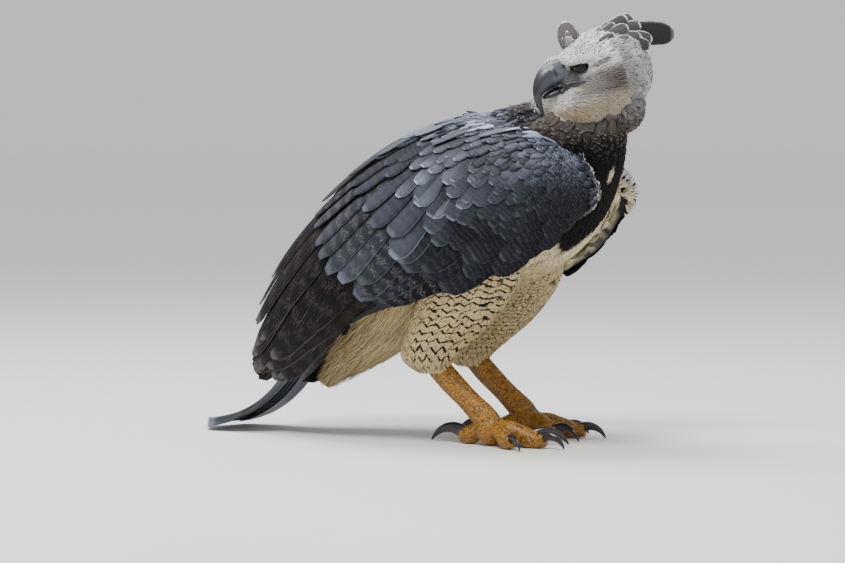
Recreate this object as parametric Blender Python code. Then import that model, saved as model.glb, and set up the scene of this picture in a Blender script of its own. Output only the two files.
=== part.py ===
"""Harpy eagle standing at life size, in metres.

The bird faces +X, its left is +Y and up is +Z. Its head is turned over its right shoulder.
"""

import math
import random

import bmesh
import bpy
from mathutils import Matrix, Vector

MM = 0.001
GAP = 0.0003
RIGHT, LEFT = -1, 1
SIDE_NAMES = {RIGHT: "right", LEFT: "left"}
Y_AXIS = Vector((0, 1, 0))
Z_AXIS = Vector((0, 0, 1))

# Trunk from the tail root to the throat: x, z, reach to the back, reach to the belly, half width.
TRUNK = [
    (-0.215, 0.236, 0.018, 0.018, 0.026),
    (-0.175, 0.258, 0.045, 0.045, 0.050),
    (-0.110, 0.290, 0.085, 0.085, 0.082),
    (-0.035, 0.310, 0.118, 0.118, 0.102),
    (0.040, 0.338, 0.122, 0.120, 0.110),
    (0.100, 0.378, 0.106, 0.110, 0.106),
    (0.142, 0.420, 0.082, 0.080, 0.088),
    (0.166, 0.462, 0.058, 0.054, 0.050),
    (0.176, 0.496, 0.040, 0.036, 0.036),
]
TRUNK_SIDES = 18
# Faces that lie this flat to each other, in degrees, count as one.
FLAT_ANGLE = 1.0
NECK_CUT = 6.25

# Lobe of soft feathers between the legs and the tail, in the same terms as the trunk.
VENT = [
    (-0.070, 0.235, 0.030, 0.040, 0.050),
    (-0.105, 0.195, 0.040, 0.050, 0.056),
    (-0.150, 0.150, 0.040, 0.045, 0.050),
    (-0.200, 0.100, 0.028, 0.034, 0.040),
    (-0.238, 0.060, 0.012, 0.016, 0.022),
]

# Feathered thigh from the hip to the tarsus: x, y, z, half depth, half width.
THIGH = [
    (0.040, 0.062, 0.275, 0.064, 0.042),
    (0.024, 0.076, 0.222, 0.066, 0.045),
    (-0.004, 0.078, 0.172, 0.058, 0.042),
    (-0.036, 0.072, 0.132, 0.045, 0.035),
    (-0.046, 0.067, 0.112, 0.034, 0.027),
    (-0.034, 0.066, 0.098, 0.020, 0.019),
]

# Bare tarsus from inside the thigh to the foot: x, z, half depth, half width.
TARSUS = [
    (-0.052, 0.128, 0.0150, 0.0140),
    (-0.018, 0.092, 0.0165, 0.0150),
    (0.014, 0.062, 0.0155, 0.0140),
    (0.040, 0.038, 0.0175, 0.0165),
]
FOOT_Y = 0.065
FOOT_X = 0.050
PALM_HEIGHT = 0.021
PALM_RADIUS = 0.0205

# Toes: angle outward from straight ahead, length, radius at the root, claw arc radius, claw root radius.
TOES = {
    "inner": (-26.0, 0.060, 0.0128, 0.033, 0.0090),
    "middle": (6.0, 0.078, 0.0126, 0.026, 0.0082),
    "outer": (42.0, 0.060, 0.0108, 0.022, 0.0072),
    "hind": (193.0, 0.048, 0.0132, 0.041, 0.0108),
}
CLAW_LIFT = 38.0
CLAW_TIP_HEIGHT = 0.0012
CLAW_TIP_RADIUS = 0.0007

# Tail path: straight down at one angle, then a bend that lays the end on the floor.
TAIL_ROOT = (-0.175, 0.258)
TAIL_LENGTH = 0.370
TAIL_STRAIGHT = 0.208
TAIL_ANGLE = 55.5
TAIL_END_ANGLE = 4.0

# Folded wing, from the wrist to its end: the points on its upper edge, its widest line and its lower edge.
WING_TOP = [
    (0.158, 0.050, 0.420),
    (0.098, 0.026, 0.452),
    (0.020, 0.014, 0.458),
    (-0.070, 0.011, 0.440),
    (-0.150, 0.010, 0.402),
    (-0.222, 0.011, 0.347),
    (-0.284, 0.009, 0.282),
    (-0.335, 0.008, 0.200),
]
WING_MIDDLE = [
    (0.212, 0.098, 0.362),
    (0.140, 0.132, 0.385),
    (0.050, 0.146, 0.365),
    (-0.040, 0.146, 0.328),
    (-0.130, 0.134, 0.285),
    (-0.212, 0.108, 0.236),
    (-0.282, 0.076, 0.180),
    (-0.338, 0.043, 0.125),
]
WING_LOWER = [
    (0.198, 0.096, 0.312),
    (0.152, 0.118, 0.250),
    (0.062, 0.132, 0.200),
    (-0.030, 0.130, 0.182),
    (-0.120, 0.122, 0.158),
    (-0.192, 0.104, 0.122),
    (-0.258, 0.076, 0.090),
    (-0.320, 0.044, 0.070),
]
WING_THICKNESS = [0.030, 0.052, 0.055, 0.050, 0.036, 0.016, 0.009, 0.005]
WING_CORE_END = 5.0
# The wing's core lies below its feathers' outer face by this much.
CORE_DEPTH = 0.004

# Tiers of wing feathers: root place along the wing, reach, first and last place down it, count, width.
WING_TIERS = [
    (3.75, 3.20, 0.80, 0.97, 4, 0.034),
    (3.85, 2.75, 0.05, 0.74, 7, 0.047),
    (3.20, 1.60, 0.05, 0.93, 7, 0.047),
    (2.60, 1.25, 0.05, 0.93, 7, 0.047),
    (2.05, 1.10, 0.05, 0.93, 7, 0.046),
    (1.52, 1.00, 0.05, 0.92, 6, 0.046),
    (1.02, 0.90, 0.06, 0.92, 5, 0.045),
    (0.55, 0.80, 0.10, 0.90, 5, 0.040),
]
ROOT_DEPTH = 0.0075
TIP_LIFT = 0.0030
VANE_THICKNESS = 0.0009
VANE_ROLL = math.radians(6.5)

# Tail feathers from the middle pair outward, and the coverts over their roots.
TAIL_PAIRS = 6
TAIL_VANE_WIDTH = 0.042
TAIL_LAYER = 0.0021
TAIL_CORE_LENGTH = 0.105
VENT_ROWS = [(1.3, 3, 0.095), (2.6, 3, 0.085)]

# Which way the broad side of a crest feather faces: forward, left, up.
FACINGS = {"left": (0, 26, 18), "right": (0, -22, 22), "front": (24, 28, 4)}

# Crest feathers: root forward, left, up; then tip forward, left, up; then width, all in mm, and the facing.
CREST = [
    ((-34, 9, 54), (-132, 14, 18), 24, "left"),
    ((-26, 3, 57), (-104, 4, 40), 22, "left"),
    ((-24, 16, 54), (-84, 24, 46), 24, "left"),
    ((-18, 6, 57), (-70, 8, 62), 23, "left"),
    ((-10, 12, 56), (-54, 18, 66), 22, "left"),
    ((-34, 27, 46), (-86, 36, 24), 25, "left"),
    ((-26, 35, 41), (-72, 46, 16), 24, "left"),
    ((-16, 30, 47), (-60, 41, 36), 23, "left"),
    ((-6, 25, 52), (-42, 34, 56), 22, "left"),
    ((-34, -20, 49), (-88, -28, 34), 25, "right"),
    ((-14, -24, 51), (-52, -34, 58), 22, "right"),
    ((-28, -10, 55), (-84, -14, 44), 26, "right"),
    ((16, -14, 50), (9, -20, 86), 22, "front"),
    ((8, -22, 49), (-7, -30, 76), 20, "front"),
]

# The head's own frame: forward to the bill, left and up, from the middle of the skull.
HEAD_CENTRE = Vector((0.184, 0.003, 0.507))
HEAD_TURN = -127.0
HEAD_PITCH = 20.0
# Skull from the nape to the face: forward, up, half height, half width, in mm.
SKULL = [
    (-63.0, -4.0, 14.0, 16.0),
    (-55.0, 0.0, 35.0, 36.0),
    (-38.0, 3.0, 53.0, 51.0),
    (-12.0, 1.0, 62.0, 57.0),
    (16.0, -1.0, 60.0, 54.0),
    (38.0, 0.0, 52.0, 43.0),
    (54.0, 7.0, 41.0, 31.0),
    (66.0, 15.0, 29.0, 21.0),
    (72.0, 20.0, 20.0, 14.0),
]
EYE = Vector((44.0, 24.0, 29.0))
EYE_RADIUS = 13.0
LID_THICKNESS = 0.9
# Half sizes of the opening between the lids, forward and up, in mm.
LID_OPENING = (11.2, 7.2)
# Full feathers of the throat in rounded lobes, each with its middle and its half sizes, in mm.
THROAT = [
    ((48.0, 2.0, -26.0), (42.0, 42.0, 38.0)),
    ((74.0, -26.0, -20.0), (31.0, 27.0, 31.0)),
]
# Corner of the mouth and its slope down to the bill, with the groove's length and width, in mm and degrees.
MOUTH_CORNER = (45.0, 6.5)
MOUTH_SLOPE = -18.0
MOUTH_GROOVE = (30.0, 1.0)
# Bill sections in mm: forward and up of the ridge, forward and up of the lower edge, half width.
UPPER_BILL = [
    (52.0, 44.5, 50.0, 12.5, 19.0),
    (66.5, 46.0, 64.0, 12.5, 17.5),
    (82.0, 44.5, 77.0, 12.5, 14.5),
    (95.0, 38.0, 87.0, 11.5, 11.5),
    (105.0, 27.0, 95.0, 9.5, 9.0),
    (110.5, 14.0, 100.5, 6.0, 6.5),
    (111.5, 0.0, 102.5, -3.0, 4.2),
    (109.0, -12.0, 103.0, -13.0, 2.2),
    (105.5, -22.0, 103.6, -22.5, 0.7),
]
LOWER_BILL = [
    (44.0, 12.0, 42.0, -4.0, 18.0),
    (60.0, 11.5, 60.0, -0.5, 16.0),
    (76.0, 11.0, 77.0, 0.0, 12.5),
    (88.0, 9.5, 89.0, 0.5, 9.0),
    (97.0, 6.5, 97.5, 1.5, 4.0),
]
BILL_SIDES = 8
NOSTRIL = Vector((76.5, 15.0, 31.0))


def clear_scene():
    """Remove every object of the scene."""
    for thing in list(bpy.data.objects):
        bpy.data.objects.remove(thing, do_unlink=True)


def new_collection(name):
    """A collection of the scene."""
    collection = bpy.data.collections.new(name)
    bpy.context.scene.collection.children.link(collection)
    return collection


def new_material(name, colour, roughness):
    """A Principled material of one colour."""
    material = bpy.data.materials.new(name)
    material.use_nodes = True
    shader = material.node_tree.nodes["Principled BSDF"]
    shader.inputs["Base Color"].default_value = (*colour, 1.0)
    shader.inputs["Roughness"].default_value = roughness
    shader.inputs["Metallic"].default_value = 0.0
    return material


clear_scene()
BIRD = new_collection("harpy_eagle")
CUTTERS = new_collection("cutters")
MATERIALS = {
    "down": new_material("down", (0.78, 0.74, 0.64), 0.9),
    "hood": new_material("hood", (0.42, 0.40, 0.38), 0.9),
    "slate": new_material("slate", (0.03, 0.032, 0.04), 0.6),
    "barred": new_material("barred", (0.08, 0.075, 0.075), 0.6),
    "skin": new_material("skin", (0.70, 0.38, 0.06), 0.5),
    "horn": new_material("horn", (0.02, 0.02, 0.022), 0.25),
    "eye": new_material("eye", (0.03, 0.015, 0.01), 0.05),
}


def smooth_rows(rows, per_span):
    """Rows of numbers on a smooth curve through the given rows."""
    count = len(rows) - 1
    steps = count * per_span
    return [smooth_row(rows, i / per_span) for i in range(steps + 1)]


def smooth_row(rows, place):
    """The row of numbers at one place along the smooth curve through the given rows."""
    last = len(rows) - 1
    place = min(max(place, 0.0), float(last))
    i = min(int(place), last - 1)
    t = place - i
    b, c = rows[i], rows[i + 1]
    a = rows[i - 1] if i > 0 else [2 * p - q for p, q in zip(b, c)]
    d = rows[i + 2] if i + 2 <= last else [2 * q - p for p, q in zip(b, c)]
    return [
        0.5 * (2 * q + (r - p) * t + (2 * p - 5 * q + 4 * r - s) * t * t + (3 * q - p - 3 * r + s) * t**3)
        for p, q, r, s in zip(a, b, c, d)
    ]


def oval(centre, across, upward, half_width, reach_up, reach_down, count):
    """A ring of two half ellipses round a centre."""
    ring = []
    for i in range(count):
        angle = math.tau * i / count
        lift = math.sin(angle)
        reach = reach_up if lift > 0 else reach_down
        ring.append(centre + across * (half_width * math.cos(angle)) + upward * (reach * lift))
    return ring


def mesh_object(name, mesh, collection=None):
    """A new object for a mesh, with its faces turned outward."""
    work = bmesh.new()
    work.from_mesh(mesh)
    bmesh.ops.recalc_face_normals(work, faces=work.faces)
    work.to_mesh(mesh)
    work.free()
    thing = bpy.data.objects.new(name, mesh)
    (collection or BIRD).objects.link(thing)
    return thing


def loft(name, rings, collection=None):
    """A closed skin over a row of unlike rings, with a fan of faces at each end."""
    work = bmesh.new()
    rows = [[work.verts.new(point) for point in ring] for ring in rings]
    count = len(rows[0])
    for low, high in zip(rows, rows[1:]):
        for i in range(count):
            j = (i + 1) % count
            work.faces.new((low[i], low[j], high[j]))
            work.faces.new((low[i], high[j], high[i]))
    for row in (rows[0], rows[-1]):
        middle = work.verts.new(sum((v.co for v in row), Vector()) / count)
        for i in range(count):
            work.faces.new((row[i], row[(i + 1) % count], middle))
    mesh = bpy.data.meshes.new(name)
    work.to_mesh(mesh)
    work.free()
    return mesh_object(name, mesh, collection)


def profile_rings(stations, per_span, sides):
    """Rings square to a path in the XZ plane, from rows of x, z, reach up, reach down, half width."""
    rows = smooth_rows(stations, per_span)
    rings = []
    for i, (x, z, back, belly, width) in enumerate(rows):
        before, after = rows[max(i - 1, 0)], rows[min(i + 1, len(rows) - 1)]
        along = Vector((after[0] - before[0], 0, after[1] - before[1])).normalized()
        upward = Vector((-along.z, 0, along.x))
        rings.append(oval(Vector((x, 0, z)), Y_AXIS, upward, width, back, belly, sides))
    return rings


def tube_rings(points, radii, sides, flat=1.0):
    """Rings round a path through points, each with its radius; flat scales them sideways."""
    rings = []
    for i, point in enumerate(points):
        along = (points[min(i + 1, len(points) - 1)] - points[max(i - 1, 0)]).normalized()
        across = along.cross(Z_AXIS)
        if across.length < 1e-6:
            across = Y_AXIS.copy()
        across.normalize()
        upward = across.cross(along).normalized()
        rings.append(oval(point, across, upward, radii[i] * flat, radii[i], radii[i], sides))
    return rings


def vane(name, frames, widths, thickness=VANE_THICKNESS):
    """A thin closed feather vane through frames of point, direction across and outward normal."""
    work = bmesh.new()
    rows = []
    for (point, across, normal), width in zip(frames, widths):
        reach = across * (width / 2)
        skin = normal * (thickness / 2)
        corners = (point - reach + skin, point + reach + skin, point + reach - skin, point - reach - skin)
        rows.append([work.verts.new(corner) for corner in corners])
    for low, high in zip(rows, rows[1:]):
        work.faces.new((low[0], low[1], high[1]))
        work.faces.new((low[0], high[1], high[0]))
        work.faces.new((low[3], high[2], low[2]))
        work.faces.new((low[3], high[3], high[2]))
        for i, j in ((1, 2), (3, 0)):
            work.faces.new((low[i], low[j], high[j]))
            work.faces.new((low[i], high[j], high[i]))
    for row in (rows[0], rows[-1]):
        work.faces.new((row[0], row[1], row[2]))
        work.faces.new((row[0], row[2], row[3]))
    mesh = bpy.data.meshes.new(name)
    work.to_mesh(mesh)
    work.free()
    return mesh_object(name, mesh)


def vane_shape(count, root, tip):
    """Places along a vane and its share of the full width there."""
    places = [0.0, 0.45, 0.80, 1.0] if count == 4 else [0.0, 0.26, 0.52, 0.76, 0.92, 1.0]
    shares = [root, 0.98, 0.90, tip] if count == 4 else [root, 0.86, 1.0, 0.96, 0.74, tip]
    return places, shares


def ball(name, centre, radii, turn=None, segments=20, rows=12, collection=None):
    """An ellipsoid with its half axes along X, Y and Z before it is turned."""
    work = bmesh.new()
    bmesh.ops.create_uvsphere(work, u_segments=segments, v_segments=rows, radius=1.0)
    bmesh.ops.triangulate(work, faces=work.faces)
    place = Matrix.Translation(centre) @ (turn or Matrix.Identity(3)).to_4x4() @ Matrix.Diagonal((*radii, 1.0))
    bmesh.ops.transform(work, matrix=place, verts=work.verts)
    mesh = bpy.data.meshes.new(name)
    work.to_mesh(mesh)
    work.free()
    return mesh_object(name, mesh, collection)


def settle(thing):
    """Apply an object's modifiers to its mesh."""
    graph = bpy.context.evaluated_depsgraph_get()
    mesh = bpy.data.meshes.new_from_object(thing.evaluated_get(graph))
    thing.modifiers.clear()
    thing.data = mesh


def cut(thing, cutter, remove=True):
    """Take a cutter's shape out of an object."""
    modifier = thing.modifiers.new("cut", "BOOLEAN")
    modifier.operation = "DIFFERENCE"
    modifier.solver = "EXACT"
    modifier.object = cutter
    settle(thing)
    if remove:
        bpy.data.objects.remove(cutter, do_unlink=True)


def join(thing, pieces):
    """Fuse pieces into an object, and keep its largest closed surface."""
    group = bpy.data.collections.new("pieces")
    bpy.context.scene.collection.children.link(group)
    for piece in pieces:
        group.objects.link(piece)
    modifier = thing.modifiers.new("join", "BOOLEAN")
    modifier.operation = "UNION"
    modifier.solver = "EXACT"
    modifier.operand_type = "COLLECTION"
    modifier.collection = group
    settle(thing)
    for piece in pieces:
        bpy.data.objects.remove(piece, do_unlink=True)
    bpy.data.collections.remove(group)
    keep_largest(thing)


def keep_largest(thing):
    """Keep only an object's closed surface of the largest volume."""
    work = bmesh.new()
    work.from_mesh(thing.data)
    bmesh.ops.triangulate(work, faces=work.faces)
    left = set(work.faces)
    shells = []
    while left:
        start = left.pop()
        shell, front = [start], [start]
        while front:
            for edge in front.pop().edges:
                for face in edge.link_faces:
                    if face in left:
                        left.remove(face)
                        shell.append(face)
                        front.append(face)
        volume = 0.0
        for face in shell:
            a, b, c = (v.co for v in face.verts)
            volume += a.dot(b.cross(c)) / 6
        shells.append((abs(volume), shell))
    shells.sort(key=lambda pair: pair[0], reverse=True)
    for _, shell in shells[1:]:
        bmesh.ops.delete(work, geom=shell, context="FACES")
    bmesh.ops.dissolve_limit(
        work, angle_limit=math.radians(FLAT_ANGLE), verts=work.verts[:], edges=work.edges[:]
    )
    bmesh.ops.triangulate(work, faces=work.faces)
    loose = [v for v in work.verts if not v.link_faces]
    bmesh.ops.delete(work, geom=loose, context="VERTS")
    work.to_mesh(thing.data)
    work.free()


def grown(thing, by=GAP):
    """A cutter with an object's shape, larger all round by a small gap."""
    mesh = thing.data.copy()
    work = bmesh.new()
    work.from_mesh(mesh)
    work.normal_update()
    moves = [(v, v.normal.copy()) for v in work.verts]
    for vertex, normal in moves:
        vertex.co += normal * by
    work.to_mesh(mesh)
    work.free()
    return as_cutter(mesh_object(thing.name + "_cutter", mesh, CUTTERS))


def as_cutter(thing):
    """Mark an object as a guide that isn't part of the bird."""
    thing.hide_render = True
    thing.display_type = "WIRE"
    return thing


def box_cutter(name, low, high):
    """A box between two corners, for cutting."""
    low, high = Vector(low), Vector(high)
    work = bmesh.new()
    bmesh.ops.create_cube(work, size=1.0)
    size = high - low
    bmesh.ops.transform(
        work, matrix=Matrix.Translation((low + high) / 2) @ Matrix.Diagonal((*size, 1.0)), verts=work.verts
    )
    mesh = bpy.data.meshes.new(name)
    work.to_mesh(mesh)
    work.free()
    return as_cutter(mesh_object(name, mesh, CUTTERS))


def half(thing, point, normal):
    """Keep the part of an object behind a plane, and close it with a flat face."""
    work = bmesh.new()
    work.from_mesh(thing.data)
    everything = work.verts[:] + work.edges[:] + work.faces[:]
    done = bmesh.ops.bisect_plane(work, geom=everything, plane_co=point, plane_no=normal, clear_outer=True)
    rim = [e for e in done["geom_cut"] if isinstance(e, bmesh.types.BMEdge)]
    bmesh.ops.holes_fill(work, edges=rim)
    bmesh.ops.triangulate(work, faces=work.faces)
    bmesh.ops.recalc_face_normals(work, faces=work.faces)
    work.to_mesh(thing.data)
    work.free()


def dress(thing, material):
    """Give an object its one material and smooth shading."""
    thing.data.materials.clear()
    thing.data.materials.append(MATERIALS[material])
    for face in thing.data.polygons:
        face.material_index = 0
    thing.data.shade_smooth()
    thing.data.set_sharp_from_angle(angle=math.radians(40))


def head_turn():
    """The rotation from the head's own frame to the bird's."""
    return Matrix.Rotation(math.radians(HEAD_TURN), 3, "Z") @ Matrix.Rotation(math.radians(HEAD_PITCH), 3, "Y")


def head_point(forward, left, up):
    """A point given in mm in the head's own frame, in the bird's frame in metres."""
    return HEAD_CENTRE + head_turn() @ (Vector((forward, left, up)) * MM)


def make_trunk():
    """The torso and the neck, one form parted by a thin cut."""
    rings = profile_rings(TRUNK, 2, TRUNK_SIDES)
    torso = loft("torso", rings)
    neck = loft("neck", rings)
    x, z, _, _, _ = smooth_row(TRUNK, NECK_CUT)
    ahead = smooth_row(TRUNK, NECK_CUT + 0.1)
    along = Vector((ahead[0] - x, 0, ahead[1] - z)).normalized()
    point = Vector((x, 0, z))
    half(torso, point - along * GAP / 2, along)
    half(neck, point + along * GAP / 2, -along)
    return torso, neck


def vent_frame(place, angle, height):
    """A point on the lobe's skin at a place along it and an angle round it, with its directions."""
    x, z, back, belly, width = smooth_row(VENT, place)
    ahead = smooth_row(VENT, min(place + 0.1, len(VENT) - 1))
    behind = smooth_row(VENT, max(min(place, len(VENT) - 1.1) - 0.1, 0))
    along = Vector((ahead[0] - behind[0], 0, ahead[1] - behind[1])).normalized()
    upward = Vector((-along.z, 0, along.x))
    reach = back if math.sin(angle) > 0 else belly
    out = (Y_AXIS * (math.cos(angle) / width) + upward * (math.sin(angle) / reach)).normalized()
    point = Vector((x, 0, z)) + Y_AXIS * (width * math.cos(angle)) + upward * (reach * math.sin(angle))
    return point + out * height, along.cross(out).normalized(), out


def make_vent(torso):
    """The lobe of soft feathers behind the legs, with the long feathers that hang from it."""
    vent = loft("vent", profile_rings(VENT, 2, 16))
    vanes = []
    for row, (start, count, length) in enumerate(VENT_ROWS):
        for i in range(count):
            angle = math.radians(200 + 140 * (i + 0.5) / count + 7 * (row % 2))
            places, shares = vane_shape(4, 0.5, 0.25)
            frames = []
            for t in places:
                place = min(start + t * length / 0.062, len(VENT) - 1.001)
                frames.append(vent_frame(place, angle, -0.004 + 0.012 * t))
            vanes.append(vane("vane", frames, [0.034 * share for share in shares]))
    join(vent, vanes)
    cut(vent, grown(torso))
    keep_largest(vent)
    return vent


def make_thigh(side, torso, vent):
    """One feathered thigh."""
    rings = []
    for x, y, z, depth, width in smooth_rows(THIGH, 2):
        rings.append(oval(Vector((x, side * y, z)), Vector((1, 0, 0)), Y_AXIS, depth, width, width, 16))
    thigh = loft("thigh_" + SIDE_NAMES[side], rings)
    cut(thigh, grown(torso))
    cut(thigh, grown(vent))
    keep_largest(thigh)
    return thigh


def make_tarsus(side, thigh):
    """One bare tarsus, from the thigh's feathers to the foot."""
    rings = []
    rows = smooth_rows(TARSUS, 2)
    for i, (x, z, depth, width) in enumerate(rows):
        before, after = rows[max(i - 1, 0)], rows[min(i + 1, len(rows) - 1)]
        along = Vector((after[0] - before[0], 0, after[1] - before[1])).normalized()
        upward = Vector((-along.z, 0, along.x))
        rings.append(oval(Vector((x, side * FOOT_Y, z)), Y_AXIS, upward, width, depth, depth, 12))
    tarsus = loft("tarsus_" + SIDE_NAMES[side], rings)
    cut(tarsus, grown(thigh))
    keep_largest(tarsus)
    return tarsus


def toe_frame(side, name):
    """A toe's start over the floor and its level direction."""
    angle = math.radians(TOES[name][0]) * side
    return Vector((FOOT_X, side * FOOT_Y, 0)), Vector((math.cos(angle), math.sin(angle), 0))


def make_foot(side, tarsus):
    """One foot with its four toes, resting on small flats."""
    start, _ = toe_frame(side, "middle")
    foot = ball(
        "foot_" + SIDE_NAMES[side],
        start + Z_AXIS * PALM_HEIGHT,
        (PALM_RADIUS * 1.1, PALM_RADIUS, PALM_RADIUS),
        segments=14,
        rows=8,
    )
    toes = []
    for name, (_, length, radius, _, _) in TOES.items():
        base, ahead = toe_frame(side, name)
        heights = [0.024, 0.0235, 0.0185, radius * 0.90 - 0.0006, 0.0118]
        places = [0.0, 0.28, 0.56, 0.84, 1.06]
        swell = [1.05, 0.92, 1.0, 0.90, 0.70]
        rows = smooth_rows(list(zip(places, heights, swell)), 2)
        points = [base + ahead * (length * row[0]) + Z_AXIS * row[1] for row in rows]
        radii = [radius * row[2] for row in rows]
        toes.append(loft("toe", tube_rings(points, radii, 8)))
    join(foot, toes)
    cut(foot, grown(tarsus))
    cut(foot, box_cutter("floor", (-1, -1, -1), (1, 1, 0)))
    keep_largest(foot)
    return foot


def make_claws(side, foot):
    """The four claws of one foot, each a tapering arc that comes down to the floor."""
    claws = []
    for name, (_, length, _, arc, thick) in TOES.items():
        base, ahead = toe_frame(side, name)
        height = 0.0122
        lift = math.radians(CLAW_LIFT)
        end = -math.acos(math.cos(lift) - (height - CLAW_TIP_HEIGHT) / arc)
        points, radii = [], []
        steps = 6
        for i in range(steps + 1):
            t = i / steps
            angle = lift + (end - lift) * t
            out = arc * (math.sin(lift) - math.sin(angle)) + length * 0.96
            points.append(base + ahead * out + Z_AXIS * (height + arc * (math.cos(angle) - math.cos(lift))))
            radii.append(thick * (1 - t) ** 0.75 + CLAW_TIP_RADIUS * t)
        claw = loft(f"claw_{name}_{SIDE_NAMES[side]}", tube_rings(points, radii, 6, flat=0.72))
        cut(claw, grown(foot))
        keep_largest(claw)
        claws.append(claw)
    return claws


def tail_path(s):
    """The tail's middle at a distance from its root, and its direction there."""
    down = math.radians(TAIL_ANGLE)
    x = TAIL_ROOT[0] - math.cos(down) * min(s, TAIL_STRAIGHT)
    z = TAIL_ROOT[1] - math.sin(down) * min(s, TAIL_STRAIGHT)
    angle = down
    if s > TAIL_STRAIGHT:
        turn = down - math.radians(TAIL_END_ANGLE)
        radius = (TAIL_LENGTH - TAIL_STRAIGHT) / turn
        angle = down - (s - TAIL_STRAIGHT) / radius
        x -= radius * (math.sin(down) - math.sin(angle))
        z -= radius * (math.cos(angle) - math.cos(down))
    return Vector((x, 0, z)), Vector((-math.cos(angle), 0, -math.sin(angle)))


def tail_frame(s, sideways, height):
    """A point of the tail at a distance from its root, sideways and above its middle, with its directions."""
    point, along = tail_path(s)
    upward = Vector((along.z, 0, -along.x))
    return point + Y_AXIS * sideways + upward * height, Y_AXIS.copy(), upward


def make_tail(torso, vent):
    """The tail: a short core with its long feathers stacked in pairs, the middle pair on top."""
    rings = []
    steps = 6
    for i in range(steps + 1):
        t = i / steps
        point, _, upward = tail_frame(TAIL_CORE_LENGTH * t, 0, -TAIL_LAYER * 2)
        thick = 0.017 * (1 - t) + 0.0085 * t
        rings.append(oval(point, Y_AXIS, upward, 0.033, thick, thick, 12))
    tail = loft("tail", rings)
    vanes = []
    for pair in range(TAIL_PAIRS):
        for side in (RIGHT, LEFT):
            layer = (pair * 2 + (side > 0)) * TAIL_LAYER / 2
            frames, widths = [], []
            places, shares = vane_shape(6, 0.45, 0.40)
            start = TAIL_CORE_LENGTH * 0.45
            end = TAIL_LENGTH - 0.004 * pair - 0.003 * (side > 0)
            for t, share in zip(places, shares):
                s = start + (end - start) * t
                spread = side * ((0.004 + 0.0042 * pair) * (1 - t) + (0.004 + 0.0082 * pair) * t)
                frames.append(tail_frame(s, spread, 0.0035 - layer))
                widths.append(TAIL_VANE_WIDTH * share)
            vanes.append(vane("vane", frames, widths))
    for i, spread in enumerate((-0.018, 0.0, 0.018)):
        places, shares = vane_shape(4, 0.5, 0.3)
        frames = [
            tail_frame(0.035 + 0.006 * i + 0.115 * t, spread, 0.004 + 0.0075 * t + 0.001 * i) for t in places
        ]
        vanes.append(vane("vane", frames, [0.036 * share for share in shares]))
    join(tail, vanes)
    cut(tail, grown(torso))
    cut(tail, grown(vent))
    cut(tail, box_cutter("floor", (-1, -1, -1), (1, 1, 0)))
    keep_largest(tail)
    return tail


def wing_point(side, along, down):
    """A point of the folded wing's outer face: along from the wrist, down from the upper edge."""
    top = Vector(smooth_row(WING_TOP, along))
    middle = Vector(smooth_row(WING_MIDDLE, along))
    lower = Vector(smooth_row(WING_LOWER, along))
    bend = middle * 2 - (top + lower) / 2
    point = top * (1 - down) ** 2 + bend * (2 * down * (1 - down)) + lower * down**2
    return Vector((point.x, side * point.y, point.z))


def wing_normal(side, along, down):
    """The outward direction of the wing's outer face."""
    step = 0.02
    run = wing_point(side, along + step, down) - wing_point(side, along - step, down)
    drop = wing_point(side, along, down + step) - wing_point(side, along, down - step)
    return drop.cross(run).normalized() * side


def wing_vane(side, root, reach, down, width, count):
    """One wing feather, lying back along the wing from its root."""
    places, shares = vane_shape(count, 0.42, 0.34)
    frames = []
    for t in places:
        along = root + reach * t
        normal = wing_normal(side, along, down)
        run = wing_point(side, along + 0.02, down) - wing_point(side, along - 0.02, down)
        across = normal.cross(run).normalized() * side
        height = (TIP_LIFT + ROOT_DEPTH) * t - ROOT_DEPTH
        tilt = Matrix.Rotation(VANE_ROLL * side, 3, run.normalized())
        frames.append((wing_point(side, along, down) + normal * height, tilt @ across, tilt @ normal))
    return vane("vane", frames, [width * share for share in shares])


def wing_vanes(side):
    """Every feather of one wing, tier by tier, each a little unlike the next."""
    chance = random.Random(7)
    vanes = []
    for tier, (root, reach, first, last, number, width) in enumerate(WING_TIERS):
        for i in range(number):
            t = (i + 0.5 * (tier % 2) * 0.8) / (number - 0.5)
            down = first + (last - first) * t
            length = reach * (1 + chance.uniform(-0.04, 0.04))
            start = root + chance.uniform(-0.04, 0.04)
            vanes.append(wing_vane(side, start, length, down, width, 6 if tier < 2 else 4))
    return vanes


def make_wing(side, blocks):
    """One folded wing: its core, and its feathers in tiers."""
    rings = []
    per_span = 2
    across = 7
    for i in range(int(WING_CORE_END * per_span) + 1):
        along = i / per_span
        thick = smooth_row([(t,) for t in WING_THICKNESS], along)[0]
        outer, inner = [], []
        for j in range(across):
            down = j / (across - 1)
            point = wing_point(side, along, down)
            normal = wing_normal(side, along, down)
            depth = thick * (0.25 + 0.75 * math.sin(math.pi * down))
            outer.append(point - normal * CORE_DEPTH)
            inner.append(point - normal * (CORE_DEPTH + depth))
        rings.append(outer + inner[::-1])
    wing = loft("wing_" + SIDE_NAMES[side], rings)
    join(wing, wing_vanes(side))
    for block in blocks:
        cut(wing, grown(block))
    other_half = sorted((-side * GAP / 2, -side))
    cut(wing, box_cutter("mid_plane", (-1, other_half[0], -1), (1, other_half[1], 1)))
    keep_largest(wing)
    return wing


def make_eye(side):
    """One eyeball."""
    centre = head_point(EYE.x, EYE.y * side, EYE.z)
    radius = EYE_RADIUS * MM
    return ball("eye_" + SIDE_NAMES[side], centre, (radius,) * 3, segments=12, rows=8)


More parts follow.
